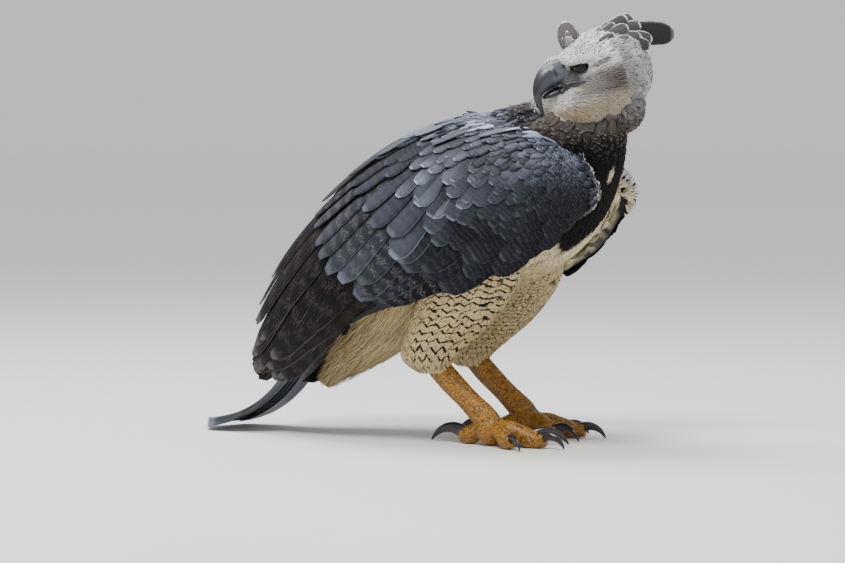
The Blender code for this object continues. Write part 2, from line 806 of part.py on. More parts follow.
def crest_vanes():
    """The crest, feather by feather, each bent a little along its length."""
    turn = head_turn()
    vanes = []
    for root, tip, width, facing in CREST:
        start, end = Vector(root), Vector(tip)
        run = (end - start).normalized()
        outward = Vector(FACINGS[facing])
        normal = (outward - run * outward.dot(run)).normalized()
        across = normal.cross(run)
        length = (end - start).length
        places, shares = vane_shape(6 if length > 60 else 4, 0.40, 0.42)
        frames = []
        for t in places:
            bow = normal * (length * 0.10 * math.sin(math.pi * t))
            point = head_point(*(start + (end - start) * t + bow))
            slope = (run + normal * (0.10 * math.pi * math.cos(math.pi * t))).normalized()
            frames.append((point, turn @ across, turn @ across.cross(slope).normalized() * -1))
        vanes.append(vane("vane", frames, [width * MM * share for share in shares]))
    return vanes


def make_head(eyes):
    """The head with its brows and eye sockets."""
    turn = head_turn()
    rings = []
    for forward, up, height, width in smooth_rows(SKULL, 2):
        centre = head_point(forward, 0, up)
        rings.append(oval(centre, turn @ Y_AXIS, turn @ Z_AXIS, width * MM, height * MM, height * MM, 18))
    head = loft("head", rings)
    pieces = crest_vanes()
    for middle, reach in THROAT:
        pieces.append(ball("throat", head_point(*middle), [size * MM for size in reach], turn, 12, 8))
    for side in (RIGHT, LEFT):
        inward = Matrix.Rotation(math.radians(-24.0 * side), 3, "Z")
        raised = Matrix.Rotation(math.radians(-10.0), 3, "Y")
        centre = head_point(EYE.x + 1.0, (EYE.y + 3.0) * side, EYE.z + 9.5)
        pieces.append(ball("brow", centre, (0.023, 0.0090, 0.0052), turn @ inward @ raised, 10, 6))
        socket = head_point(EYE.x, EYE.y * side, EYE.z)
        pieces.append(ball("lids", socket, ((EYE_RADIUS + LID_THICKNESS) * MM,) * 3, segments=12, rows=8))
    join(head, pieces)
    for eye in eyes:
        cut(head, grown(eye))
    wide, tall = LID_OPENING
    for side in (RIGHT, LEFT):
        outside = head_point(EYE.x + 2.0, (EYE.y + EYE_RADIUS + 1.5) * side, EYE.z - 0.5)
        slit = ball("slit", outside, (wide * MM, 0.009, tall * MM), turn, 14, 8, CUTTERS)
        cut(head, as_cutter(slit))
    keep_largest(head)
    return head


def open_mouth(head):
    """The line of the mouth, a groove that runs on from the bill under the eye."""
    length, wide = MOUTH_GROOVE
    groove = box_cutter("mouth", (0, -0.06, -wide / 2 * MM), (length * MM, 0.06, wide / 2 * MM))
    slope = Matrix.Rotation(math.radians(MOUTH_SLOPE), 3, "Y")
    corner = head_point(MOUTH_CORNER[0], 0, MOUTH_CORNER[1])
    groove.data.transform(Matrix.Translation(corner) @ (head_turn() @ slope).to_4x4())
    cut(head, groove)
    keep_largest(head)


def bill_rings(sections):
    """Rings between the ridge and the lower edge of each bill section."""
    across = head_turn() @ Y_AXIS
    rings = []
    for ridge_forward, ridge_up, edge_forward, edge_up, width in smooth_rows(sections, 2):
        ridge = head_point(ridge_forward, 0, ridge_up)
        edge = head_point(edge_forward, 0, edge_up)
        upward = (ridge - edge) / 2
        rings.append(oval((ridge + edge) / 2, across, upward, width * MM, 1.0, 1.0, BILL_SIDES))
    return rings


def make_bill(head):
    """The upper bill with its cere and nostrils, and the lower bill."""
    turn = head_turn()
    upper = loft("bill_upper", bill_rings(UPPER_BILL))
    cut(upper, grown(head))
    for side in (RIGHT, LEFT):
        centre = head_point(NOSTRIL.x, NOSTRIL.y * side, NOSTRIL.z)
        pit = ball("nostril", centre, (0.0020, 0.0030, 0.0042), turn, 10, 6, CUTTERS)
        cut(upper, as_cutter(pit))
    keep_largest(upper)
    lower = loft("bill_lower", bill_rings(LOWER_BILL))
    cut(lower, grown(head))
    cut(lower, grown(upper))
    keep_largest(lower)
    return upper, lower


def place_all(parts):
    """Hang every part on one empty, with the middle of the bird's box over the origin."""
    root = bpy.data.objects.new("harpy_eagle_root", None)
    BIRD.objects.link(root)
    corners = [vertex.co for part in parts for vertex in part.data.vertices]
    low = [min(c[k] for c in corners) for k in range(3)]
    high = [max(c[k] for c in corners) for k in range(3)]
    for part in parts:
        middle = sum((Vector(corner) for corner in part.bound_box), Vector()) / 8
        part.data.transform(Matrix.Translation(-middle))
        part.location = middle
        part.parent = root
    root.location = (-(low[0] + high[0]) / 2, -(low[1] + high[1]) / 2, -low[2])


def build():
    """The whole bird."""
    torso, neck = make_trunk()
    vent = make_vent(torso)
    parts = {torso: "down", neck: "hood", vent: "down"}
    eyes = [make_eye(side) for side in (RIGHT, LEFT)]
    head = make_head(eyes)
    upper, lower = make_bill(head)
    for block in (head, lower, upper):
        cut(neck, grown(block))
    keep_largest(neck)
    cut(torso, grown(head))
    keep_largest(torso)
    open_mouth(head)
    parts.update({head: "hood", upper: "horn", lower: "horn", eyes[0]: "eye", eyes[1]: "eye"})
    tail = make_tail(torso, vent)
    parts[tail] = "barred"
    for side in (RIGHT, LEFT):
        thigh = make_thigh(side, torso, vent)
        tarsus = make_tarsus(side, thigh)
        foot = make_foot(side, tarsus)
        wing = make_wing(side, (torso, neck, head, vent, tail, thigh))
        parts.update({thigh: "down", tarsus: "skin", foot: "skin", wing: "slate"})
        for claw in make_claws(side, foot):
            parts[claw] = "horn"
    for part, material in parts.items():
        dress(part, material)
    place_all(list(parts))


build()
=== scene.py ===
"""Looks of a harpy eagle that stands at life size.

Lengths are in metres, and in mm in the head's own frame. The bird faces +X with its head turned over its
right shoulder. Its forms are worked out in the source's own frame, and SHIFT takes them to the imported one.
"""

import itertools
import math

import bpy
import numpy as np
from mathutils import Matrix, Vector, kdtree


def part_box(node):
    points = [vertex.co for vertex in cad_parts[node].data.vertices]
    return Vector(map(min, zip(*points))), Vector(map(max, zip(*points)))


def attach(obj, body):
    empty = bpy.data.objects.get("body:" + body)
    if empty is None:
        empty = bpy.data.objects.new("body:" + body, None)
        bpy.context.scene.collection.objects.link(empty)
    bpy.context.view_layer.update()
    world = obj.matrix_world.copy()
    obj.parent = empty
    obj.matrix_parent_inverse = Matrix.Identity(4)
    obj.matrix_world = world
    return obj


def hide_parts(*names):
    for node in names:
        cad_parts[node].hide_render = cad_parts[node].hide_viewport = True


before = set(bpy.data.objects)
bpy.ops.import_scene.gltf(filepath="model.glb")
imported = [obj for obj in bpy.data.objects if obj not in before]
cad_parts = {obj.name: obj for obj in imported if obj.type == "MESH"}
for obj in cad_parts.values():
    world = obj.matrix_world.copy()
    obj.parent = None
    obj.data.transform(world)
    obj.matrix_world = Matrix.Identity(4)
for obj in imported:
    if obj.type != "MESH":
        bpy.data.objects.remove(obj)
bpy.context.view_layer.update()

MM = 0.001
RIGHT, LEFT = -1, 1
SIDE_NAMES = {RIGHT: "right", LEFT: "left"}
WING_NODES = {side: (f"wing_{word}",) for side, word in SIDE_NAMES.items()}
TAU = math.tau
UP = np.array([0.0, 0.0, 1.0])

# Sections of the trunk, from tail to neck: x, z, reach to the back, reach to the belly, half width.
TRUNK = [
    (-0.215, 0.236, 0.018, 0.018, 0.026),
    (-0.175, 0.258, 0.045, 0.045, 0.050),
    (-0.110, 0.290, 0.085, 0.085, 0.082),
    (-0.035, 0.310, 0.118, 0.118, 0.102),
    (0.040, 0.338, 0.122, 0.120, 0.110),
    (0.100, 0.378, 0.106, 0.110, 0.106),
    (0.142, 0.420, 0.082, 0.080, 0.088),
    (0.166, 0.462, 0.058, 0.054, 0.056),
    (0.176, 0.496, 0.040, 0.036, 0.040),
]
# Sections of the vent, from top to end: x, z, reach forward and down, reach back and up, half width.
VENT = [
    (-0.070, 0.235, 0.030, 0.040, 0.050),
    (-0.105, 0.195, 0.040, 0.050, 0.056),
    (-0.150, 0.150, 0.040, 0.045, 0.050),
    (-0.200, 0.104, 0.020, 0.028, 0.030),
    (-0.238, 0.070, 0.005, 0.006, 0.009),
]
# Sections of a thigh, from top to end: x, y, z, half depth, half width.
THIGH = [
    (0.040, 0.062, 0.275, 0.064, 0.042),
    (0.024, 0.076, 0.222, 0.066, 0.045),
    (-0.004, 0.078, 0.172, 0.058, 0.042),
    (-0.036, 0.072, 0.132, 0.045, 0.035),
    (-0.046, 0.067, 0.112, 0.034, 0.027),
    (-0.034, 0.066, 0.098, 0.020, 0.019),
]
# Sections of a tarsus, from top to end: x, z, half depth, half width.
TARSUS = [
    (-0.052, 0.128, 0.0150, 0.0140),
    (-0.018, 0.092, 0.0165, 0.0150),
    (0.014, 0.062, 0.0155, 0.0140),
    (0.040, 0.038, 0.0175, 0.0165),
    (0.052, 0.026, 0.0150, 0.0150),
]
LEG_ROWS = 33
FOOT_X, FOOT_Y = 0.050, 0.065
PALM_HEIGHT, PALM_RADIUS = 0.021, 0.0205
# Toes: degrees from straight ahead, length, radius, radius of the claw's curve, half thickness of the claw.
TOES = {
    "inner": (-26.0, 0.060, 0.0128, 0.033, 0.0090),
    "middle": (6.0, 0.078, 0.0126, 0.026, 0.0082),
    "outer": (42.0, 0.060, 0.0108, 0.022, 0.0072),
    "hind": (193.0, 0.048, 0.0132, 0.041, 0.0108),
}
CLAW_LIFT = math.radians(38.0)
CLAW_ROOT_HEIGHT = 0.0122
CLAW_TIP_HEIGHT, CLAW_TIP_RADIUS = 0.0012, 0.0007
# Scales of the legs: gap between small ones, reach of the broad plates, and how far they are raised.
SCALE_GAP, PLATE_REACH, SCALE_RISE = 0.0030, 0.0055, 0.00055
TAIL_ROOT = (-0.175, 0.258)
TAIL_LENGTH, TAIL_STRAIGHT = 0.370, 0.208
TAIL_ANGLE, TAIL_END_ANGLE = math.radians(55.5), math.radians(4.0)
# Points of a folded wing's outer face, from wrist to tip: upper edge, middle, lower edge; then its thickness.
WING_TOP = [
    (0.158, 0.050, 0.420),
    (0.098, 0.026, 0.452),
    (0.020, 0.014, 0.458),
    (-0.070, 0.011, 0.440),
    (-0.150, 0.010, 0.402),
    (-0.222, 0.011, 0.347),
    (-0.284, 0.009, 0.282),
    (-0.335, 0.008, 0.200),
]
WING_MIDDLE = [
    (0.212, 0.098, 0.362),
    (0.140, 0.132, 0.385),
    (0.050, 0.146, 0.365),
    (-0.040, 0.146, 0.328),
    (-0.130, 0.134, 0.285),
    (-0.212, 0.108, 0.236),
    (-0.282, 0.076, 0.180),
    (-0.338, 0.043, 0.125),
]
WING_LOWER = [
    (0.198, 0.096, 0.312),
    (0.152, 0.118, 0.250),
    (0.062, 0.132, 0.200),
    (-0.030, 0.130, 0.182),
    (-0.120, 0.122, 0.158),
    (-0.192, 0.104, 0.122),
    (-0.258, 0.076, 0.090),
    (-0.320, 0.044, 0.070),
]
WING_THICKNESS = [[0.030], [0.052], [0.055], [0.050], [0.036], [0.016], [0.009], [0.005]]
# How deep a wing's core, and what its thickness is added to for its lining, lie under its outer face.
CORE_DEPTH, LINING_DEPTH = 0.0045, 0.0050
# How much higher the right wing's lower edge lies, by row.
WING_TRIM = [(0, 0, rise) for rise in (0.006, 0.014, 0.013, 0.008, 0.004, 0, 0, 0)]
# How much further back and in the left wrist lies than the right one.
WING_TUCK = (0.014, 0.010, 0.0)
HEAD_CENTRE = np.array([0.184, 0.003, 0.507])
HEAD_TURN, HEAD_PITCH = math.radians(-127.0), math.radians(20.0)
# Sections of the head in mm in its own frame, from back to front: forward, up, half height, half width.
SKULL = [
    (-63.0, -4.0, 14.0, 16.0),
    (-55.0, 0.0, 35.0, 36.0),
    (-38.0, 3.0, 53.0, 51.0),
    (-12.0, 1.0, 62.0, 57.0),
    (16.0, -1.0, 60.0, 53.0),
    (38.0, 0.0, 52.0, 41.0),
    (54.0, 7.0, 40.0, 28.0),
    (66.0, 16.0, 27.0, 17.0),
    (72.0, 20.0, 18.0, 11.0),
]
# How far the back of the head is rounded off behind its first section, in mm.
SKULL_CAP = 2.5
# The left eye's middle, forward, left and up, and its radius, in mm in the head's frame.
EYE = (44.0, 24.0, 29.0)
EYE_RADIUS = 13.0
# Lobes of the throat's full feathers: middle and half sizes, in mm in the head's frame.
THROAT_LOBES = [
    ((48.0, 2.0, -26.0), (42.0, 42.0, 38.0)),
    ((74.0, -26.0, -20.0), (31.0, 27.0, 31.0)),
]
# The full feathers under the back of the head.
NAPE_LOBE = ((-9.0, 2.0, -41.0), (34.0, 43.0, 43.0))

# How far the skin lies inside the solids, under the coat.
SKIN_DEPTH = 0.0035
SKIN_VOXEL, LEG_VOXEL = 0.0035, 0.0013

# Camera: the photograph's view, its distance, and the point its middle falls on.
VIEW_AZIMUTH, VIEW_ELEVATION = math.radians(25.0), math.radians(3.0)
VIEW_DISTANCE = 4.0
PHOTO_WIDTH = 845
METRES_PER_PIXEL = 0.0014
VIEW_ACROSS, VIEW_HEIGHT = -0.0777, 0.2219
SENSOR = 36.0

# Colours of the coat, the wings, the crest, the eyelids, the claws and the legs.
CREAM = np.array([0.78, 0.68, 0.44])
BUFF = np.array([0.48, 0.375, 0.19])
WARM_BROWN = np.array([0.30, 0.20, 0.12])
BLACK = np.array([0.0085, 0.0080, 0.0085])
SLATE = np.array([0.0068, 0.0080, 0.0128])
# The silver below is the grey of some feathers, and also the colour of the painted sheen and highlights on
# the wings and shoulders.
SILVER_AND_SHEEN = np.array([0.21, 0.24, 0.315])
PALE = np.array([0.76, 0.75, 0.735])
EAR = np.array([0.095, 0.076, 0.066])
THROAT = np.array([0.47, 0.385, 0.28])
RUFF = np.array([0.185, 0.16, 0.145])
LORES = np.array([0.085, 0.085, 0.09])
WING_BROWN = np.array([0.0125, 0.0098, 0.0092])
FLIGHT_BROWN = np.array([0.0066, 0.0050, 0.0046])
SCAPULAR_DARK = np.array([0.040, 0.036, 0.036])
CREST_LONG = np.array([0.032, 0.029, 0.033])
CREST_DARK = np.array([0.072, 0.067, 0.067])
CREST_SMALL = np.array([0.095, 0.089, 0.088])
LID_SKIN, LID_RIM = np.array([0.10, 0.095, 0.092]), np.array([0.012, 0.011, 0.011])
CLAW_ROOT, CLAW_TIP = np.array([0.030, 0.026, 0.024]), np.array([0.008, 0.008, 0.009])
LEG_YELLOW = np.array([0.40, 0.178, 0.003])
LEG_DARK, LEG_GROOVE = np.array([0.10, 0.045, 0.012]), np.array([0.055, 0.028, 0.010])

# The pale patch in the dark band of the breast: its middle and half sizes, aside and up.
PATCH, PATCH_REACH = (-0.016, 0.3714), (0.0065, 0.0105)

# Shares of a feather's full width at shares of its length, by its kind.
SHAPES = {
    "leaf": ([0, 0.25, 0.6, 0.85, 1.0], [0.35, 0.85, 1.0, 0.75, 0.16]),
    "scale": ([0, 0.3, 0.7, 0.9, 1.0], [0.55, 0.92, 1.0, 0.80, 0.36]),
    "flight": ([0, 0.12, 0.5, 0.85, 0.96, 1.0], [0.30, 0.75, 1.0, 0.92, 0.62, 0.22]),
    "lance": ([0, 0.3, 0.7, 1.0], [0.5, 1.0, 0.62, 0.06]),
    "paddle": ([0, 0.25, 0.6, 0.78, 0.88, 0.95, 1.0], [0.42, 0.84, 1.0, 0.97, 0.85, 0.64, 0.34]),
}

# How thick a soft feather is.
DOWN_THICKNESS = 0.00022
# Coats of the trunk: first and last place along it, gap, length, width and ruffle.
TRUNK_COATS = {
    "belly_coat": (0.3, 4.6, 0.0041, 0.023, 0.0095, 0.05),
    "breast_coat": (4.6, 6.6, 0.0043, 0.022, 0.0115, 0.06),
}
TRUNK_LOOKS = {
    "belly_coat": {"depth": 0.0022, "lift": 0.0010, "camber": 0.08, "thickness": DOWN_THICKNESS},
    "breast_coat": {"depth": 0.0024, "lift": 0.0016, "kind": "scale", "camber": 0.10, "thickness": 0.00025},
}
VENT_WISPS = 460
# Coats of the head: first and last place along the skull.
HEAD_COATS = {"head_coat_rear": (-0.97, 2.85), "head_coat_side": (2.85, 4.7), "head_coat_face": (4.7, 7.7)}

LOWER_FLIGHTS, UPPER_FLIGHTS = 7, 15
FLIGHT_LOOKS = {
    "rows": 18, "columns": 9, "kind": "flight", "camber": 0.07,
    "thickness": 0.0007, "shaft": 0.8, "fray": 0.06,
}
COVERT_LOOKS = {
    "rows": 10, "columns": 7, "kind": "paddle", "camber": 0.06,
    "thickness": 0.0004, "shaft": 0.5, "fray": 0.05,
}
# Rows of great coverts: place along the wing, length, number, lean in degrees, and strength of their bars.
GREAT_COVERTS = ((2.75, 0.168, 12, 26.0, 0.45), (2.30, 0.120, 11, 32.0, 0.15))
# Rows of small coverts: place and length of the first row, last place, least length, and the share of its
# length that a row keeps from the one before.
SMALL_START, SMALL_LENGTH, SMALL_END, SMALL_LEAST, SMALL_SHRINK = 2.25, 0.064, -0.55, 0.0115, 0.90
SHOULDER_TUFTS = 230
# How much further down the left wing its tufts and long scapulars start.
LEFT_TUFT_DROP, LEFT_SCAPULAR_DROP = 0.07, 0.13
# Long feathers from the shoulder over the wing: place along, place down, length, width and share of silver,
# which is painted sheen.
SCAPULARS = [
    (1.35, 0.10, 0.105, 0.020, 0.22),
    (1.62, 0.055, 0.110, 0.022, 0.34),
    (1.95, 0.020, 0.100, 0.024, 0.60),
    (2.30, 0.000, 0.105, 0.026, 0.70),
    (2.75, 0.010, 0.110, 0.026, 0.30),
    (3.20, 0.000, 0.120, 0.028, 0.12),
    (3.70, 0.005, 0.130, 0.028, 0.05),
    (1.10, 0.16, 0.060, 0.018, 0.40),
]

TAIL_PAIRS, TAIL_LAYER = 6, 0.00105
# Rows of coverts over the tail's root: distance from the root, length and lift.
TAIL_COVERTS = ((0.030, 0.135, 0.0085), (0.012, 0.105, 0.011), (0.0, 0.075, 0.013))

# Ends of the unwrap of a skin that closes at both ends.
POLES = [[0.5, 0.0], [0.5, 1.0]]
# Feathers reflect little.
FEATHER_SHINE = 0.09
# Lines of the barbs of soft feathers: how many to a feather, and their slant.
FLUFFY = {"pitch": 40.0, "slant": 6.0}

FLOOR_REACH, FLOOR_SIDES = 60.0, 96
# Lamps: place, width, power and colour.
LAMP_TARGET = (0.0, 0.0, 0.3)
LAMPS = {
    "key": ((0.1, -1.8, 3.3), 1.3, 125.0, (1.0, 0.97, 0.93)),
    "sky": ((-0.9, 0.3, 3.0), 1.8, 105.0, (0.90, 0.95, 1.0)),
    "fill": ((2.4, -1.6, 1.0), 2.0, 10.0, (0.97, 0.98, 1.0)),
}


def unit(vectors):
    """Vectors scaled to length 1."""
    return vectors / np.maximum(np.linalg.norm(vectors, axis=-1, keepdims=True), 1e-12)


def step(low, high, values):
    """A smooth step from 0 at low to 1 at high."""
    t = np.clip((values - low) / (high - low), 0.0, 1.0)
    return t * t * (3 - 2 * t)


def mix(first, second, share):
    """Colours between two, by a share for each point."""
    share = np.asarray(share)[..., None]
    return first * (1 - share) + second * share


def smooth(rows, place):
    """Rows of numbers at places along the smooth curve through the given rows."""
    rows = np.asarray(rows, float)
    last = len(rows) - 1
    padded = np.vstack([2 * rows[0] - rows[1], rows, 2 * rows[-1] - rows[-2]])
    place = np.clip(place, 0, last)
    i = np.minimum(place.astype(int), last - 1)
    t = (place - i)[..., None]
    a, b, c, d = padded[i], padded[i + 1], padded[i + 2], padded[i + 3]
    return 0.5 * (2 * b + (c - a) * t + (2 * a - 5 * b + 4 * c - d) * t**2 + (3 * b - a - 3 * c + d) * t**3)


def turn_about(axis, angle):
    """A rotation matrix about an axis named by its letter."""
    return np.array(Matrix.Rotation(angle, 3, axis))


HEAD_AXES = turn_about("Z", HEAD_TURN) @ turn_about("Y", HEAD_PITCH)


def on_side(point, side):
    """A point given for the left side, on either side."""
    return np.array(point) * np.array([1, side, 1])


def head_point(points):
    """Points in mm in the head's own frame, in the bird's frame."""
    return HEAD_CENTRE + (np.asarray(points, float) * MM) @ HEAD_AXES.T


def head_place(points):
    """Points of the bird's frame, in mm in the head's own frame."""
    return ((points - HEAD_CENTRE) / MM) @ HEAD_AXES


def oval_distance(places, middle, reach):
    """How far places lie from an oval's middle, where 1 is on its skin."""
    return np.sqrt((((places - np.array(middle)) / np.array(reach)) ** 2).sum(-1))


def shift_to_frame():
    """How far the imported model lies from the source's frame."""
    low, high = (np.array(corner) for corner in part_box("eye_left"))
    return (low + high) / 2 - head_point(EYE)


SHIFT = shift_to_frame()


class Surface:
    """A smooth surface over two places, with the sign that turns its normal outward."""

    def __init__(self, at, outward, low, high):
        self.at = at
        self.outward = outward
        self.low = np.array(low, float)
        self.high = np.array(high, float)

    def frame(self, u, v):
        """Points, outward normals and the two slopes."""
        nudge = 1e-3 * (self.high - self.low)
        point = self.at(u, v)
        slope_u = (self.at(u + nudge[0], v) - self.at(u - nudge[0], v)) / (2 * nudge[0])
        slope_v = (self.at(u, v + nudge[1]) - self.at(u, v - nudge[1])) / (2 * nudge[1])
        return point, unit(np.cross(slope_u, slope_v)) * self.outward, slope_u, slope_v

    def unwrap(self, u, v):
        """The place of points on this surface's own unwrap, from 0 to 1 both ways."""
        across = (v - self.low[1]) / (self.high[1] - self.low[1])
        return np.stack([(across % 1.0), (u - self.low[0]) / (self.high[0] - self.low[0])], axis=-1)


def lobe_at(rows):
    """A surface of ovals square to a path in the XZ plane."""

    def at(u, v):
        place = smooth(rows, u)
        along = unit(smooth(rows, u + 0.25)[..., :2] - smooth(rows, u - 0.25)[..., :2])
        reach = np.where(np.sin(v) > 0, place[..., 2], place[..., 3]) * np.sin(v)
        x, z = place[..., 0] - along[..., 1] * reach, place[..., 1] + along[..., 0] * reach
        return np.stack([x, place[..., 4] * np.cos(v), z], axis=-1)

    return at


def thigh_at(side):
    """The surface of one thigh."""

    def at(u, v):
        x, y, z, depth, width = np.moveaxis(smooth(THIGH, u), -1, 0)
        return np.stack([x + depth * np.cos(v), side * y + width * np.sin(v), z], axis=-1)

    return at


def skull_at(u, v):
    """The surface of the head, rounded off behind its first section."""
    forward, up, height, width = np.moveaxis(smooth(SKULL, np.maximum(u, 0)), -1, 0)
    beyond = np.clip(-np.asarray(u), 0, 1)
    forward = forward - SKULL_CAP * beyond * (2 - beyond)
    height, width = height * (1 - beyond), width * (1 - beyond)
    return head_point(np.stack([forward, width * np.cos(v), up + height * np.sin(v)], axis=-1))


def wing_at(side):
    """The outer face of one folded wing: along from the wrist, down from the upper edge."""

    def at(u, v):
        top, middle, lower = (smooth(rows, u) for rows in (WING_TOP, WING_MIDDLE, WING_LOWER))
        if side < 0:
            lower = lower + smooth(WING_TRIM, u)
        bend = middle * 2 - (top + lower) / 2
        v = np.asarray(v)[..., None]
        place = (top * (1 - v) ** 2 + bend * (2 * v * (1 - v)) + lower * v**2) * np.array([1, side, 1])
        near = step(4.0, 1.0, np.asarray(u))[..., None] if side > 0 else 0.0
        return place - np.array(WING_TUCK) * near

    return at


def wing_thickness(along, down):
    """How thick a folded wing is at places on it."""
    return smooth(WING_THICKNESS, along)[..., 0] * (0.25 + 0.75 * np.sin(math.pi * np.clip(down, 0, 1)))


def tail_at(u, v):
    """The middle sheet of the tail: distance from its root, and sideways."""
    straight = np.minimum(u, TAIL_STRAIGHT)
    x = TAIL_ROOT[0] - math.cos(TAIL_ANGLE) * straight
    z = TAIL_ROOT[1] - math.sin(TAIL_ANGLE) * straight
    radius = (TAIL_LENGTH - TAIL_STRAIGHT) / (TAIL_ANGLE - TAIL_END_ANGLE)
    angle = TAIL_ANGLE - np.maximum(u - TAIL_STRAIGHT, 0) / radius
    x = x - radius * (math.sin(TAIL_ANGLE) - np.sin(angle))
    z = z - radius * (np.cos(angle) - math.cos(TAIL_ANGLE))
    return np.stack([x, v + 0 * x, z], axis=-1)


TRUNK_SKIN = Surface(lobe_at(TRUNK), -1, (0, 0), (8, TAU))
VENT_SKIN = Surface(lobe_at(VENT), -1, (0, 0), (4, TAU))
THIGH_SKINS = {side: Surface(thigh_at(side), 1, (0, 0), (5, TAU)) for side in (RIGHT, LEFT)}
SKULL_SKIN = Surface(skull_at, -1, (-1, 0), (8, TAU))
WING_FACES = {side: Surface(wing_at(side), -side, (0, 0), (7, 1)) for side in (RIGHT, LEFT)}
TAIL_SHEET = Surface(tail_at, -1, (0, -0.08), (TAIL_LENGTH, 0.08))


def ripple(points, size, seed=0.0):
    """A soft wave pattern over points in space, from -1 to 1."""
    x, y, z = np.moveaxis(points / size, -1, 0)
    first = np.sin(x * 1.7 + 1.3 * np.sin(y * 1.1 + seed) + seed)
    second = np.sin(y * 1.9 + 1.7 * np.sin(z * 1.3 - seed))
    third = np.sin(z * 1.5 + 1.1 * np.sin(x * 1.7 + 2 * seed))
    return (first + second + third) / 3


def head_colour(points):
    """Colour of the head's coat at points of the bird's frame, with painted shade on the cheeks and a painted
    shadow under each brow.
    """
    forward, left, up = np.moveaxis(head_place(points), -1, 0)
    side = np.abs(left)
    colour = mix(PALE * 1.12, PALE * 0.9, step(0.1, 0.7, ripple(points, 0.005)))
    # Painted shade: the sides of the face below the eyes are darkened, as if they lay in shade.
    painted_cheek_shade = step(26, 12, up) * step(20, 40, side) * step(-30, -6, up)
    colour = mix(colour, colour * np.array([0.35, 0.33, 0.31]), painted_cheek_shade)
    ear = step(40, 12, forward) * step(-7, -2, forward) * step(-46, -24, up)
    ear = ear * step(26, 4, up) * step(26, 40, side)
    colour = mix(colour, EAR, ear * (0.82 + 0.15 * ripple(points, 0.004, 6.0)))
    # Painted shadow: a dark streak back from each eye, under the brow, stands for the shadow that the brow
    # casts.
    brow_shadow_reach = np.sqrt(((forward - 20) / 22) ** 2 + ((up - 27 + 0.2 * (forward - 20)) / 5) ** 2)
    colour = mix(colour, EAR * 0.5, (1 - step(0.3, 1.1, brow_shadow_reach)) * step(24, 36, side) * 0.75)
    lores = step(44, 54, forward) * step(34, 28, up) * step(2, 10, up) * step(9, 15, side)
    colour = mix(colour, LORES, lores * 0.9)
    low = step(-10, -26, up)
    colour = mix(colour, THROAT, low * step(-25, 10, forward))
    stain = low * step(30, 62, forward) * (0.5 + 0.5 * ripple(points, 0.012, 1.0))
    colour = mix(colour, THROAT * np.array([0.80, 0.66, 0.50]), stain * 0.6)
    rear = step(0, -10, forward) * step(58, 34, up)
    shaded = mix(PALE * 0.46, RUFF * 0.80, step(10, -52, up))
    colour = mix(colour, shaded, rear * (0.84 + 0.14 * ripple(points, 0.007, 3.0)))
    hem = step(-50, -62, up)
    return mix(colour, RUFF * 0.55, hem * 0.9)


def body_colour(points):
    """Colour of the coat of the trunk, neck, vent and thighs at points of the bird's frame."""
    x, y, z = np.moveaxis(points, -1, 0)
    wobble = ripple(points, 0.010) * 0.004
    colour = mix(CREAM, CREAM * np.array([0.95, 0.92, 0.86]), step(0.0, 0.8, ripple(points, 0.03)))
    colour = mix(colour, colour * np.array([0.80, 0.73, 0.60]), step(0.27, 0.225, z))
    rear = step(-0.05, -0.17, x) * step(0.25, 0.17, z)
    colour = mix(colour, BUFF, rear * (0.45 + 0.35 * ripple(points, 0.016, 2.0)))
    colour = mix(colour, WARM_BROWN, rear * step(0.15, 0.06, z) * 0.35)
    spots = step(0.60, 0.72, ripple(points, 0.0065, 5.0)) * step(0.02, 0.05, x) * step(0.13, 0.10, x)
    colour = mix(colour, BLACK, spots * step(0.28, 0.262, z) * step(0.03, 0.05, np.abs(y)) * 0.9)
    aside = np.abs(y + 0.030)
    band = step(-0.003, 0.003, z - 0.262 - 0.75 * aside - 4.5 * aside**2 + wobble) * step(0.06, 0.10, x)
    colour = mix(colour, BLACK, band)
    beside, above = y - PATCH[0], z - PATCH[1]
    patch = np.sqrt((beside / PATCH_REACH[0]) ** 2 + ((above - 0.4 * beside) / PATCH_REACH[1]) ** 2)
    colour = mix(colour, CREAM * 0.85, (1 - step(0.6, 1.2, patch + wobble * 60)) * step(0.08, 0.10, x))
    axis = np.interp(x, [-0.215, -0.035, 0.040, 0.142, 0.180], [0.236, 0.300, 0.345, 0.440, 0.50])
    back = step(0.0, 0.035, z - axis - 0.012 + wobble)
    colour = mix(colour, SLATE * 1.6, back)
    ruff = step(0.404, 0.440, z + wobble * 2) * (1 - back * step(0.475, 0.455, z))
    return mix(colour, mix(RUFF * 0.22, RUFF * 0.8, step(0.415, 0.475, z)), ruff * 0.9)


def turn_to(surface, u, v, way):
    """How far feathers turn from a surface's own lie to point a given way."""
    _, normal, slope_u, _ = surface.frame(u, v)
    ahead = -unit(slope_u)
    beside = np.cross(normal, ahead)
    return np.arctan2((way * beside).sum(-1), (way * ahead).sum(-1))


def head_flow(points):
    """The way the head's feathers lie: back over the skull, and down towards the neck."""
    forward, _, up = np.moveaxis(head_place(points), -1, 0)
    down = 0.15 + 1.1 * step(4, -40, up) + 0.8 * step(0, -60, forward)
    return unit(np.stack([-1 + 0 * down, 0 * down, -down], axis=-1)) @ HEAD_AXES.T


def ellipsoid_surface(centre, radii, axes):
    """An ellipsoid as a surface for feathers, from the rear end of its first axis to the front."""

    def at(u, v):
        local = np.stack([-np.cos(u) + 0 * v, np.sin(u) * np.cos(v), np.sin(u) * np.sin(v)], axis=-1)
        return centre + (local * radii) @ axes.T

    return Surface(at, -1, (0.15, 0), (math.pi - 0.15, TAU))


def throat_surface(lobe):
    """One lobe of the throat."""
    middle, reach = lobe
    return ellipsoid_surface(head_point(middle), np.array(reach) * MM, HEAD_AXES)


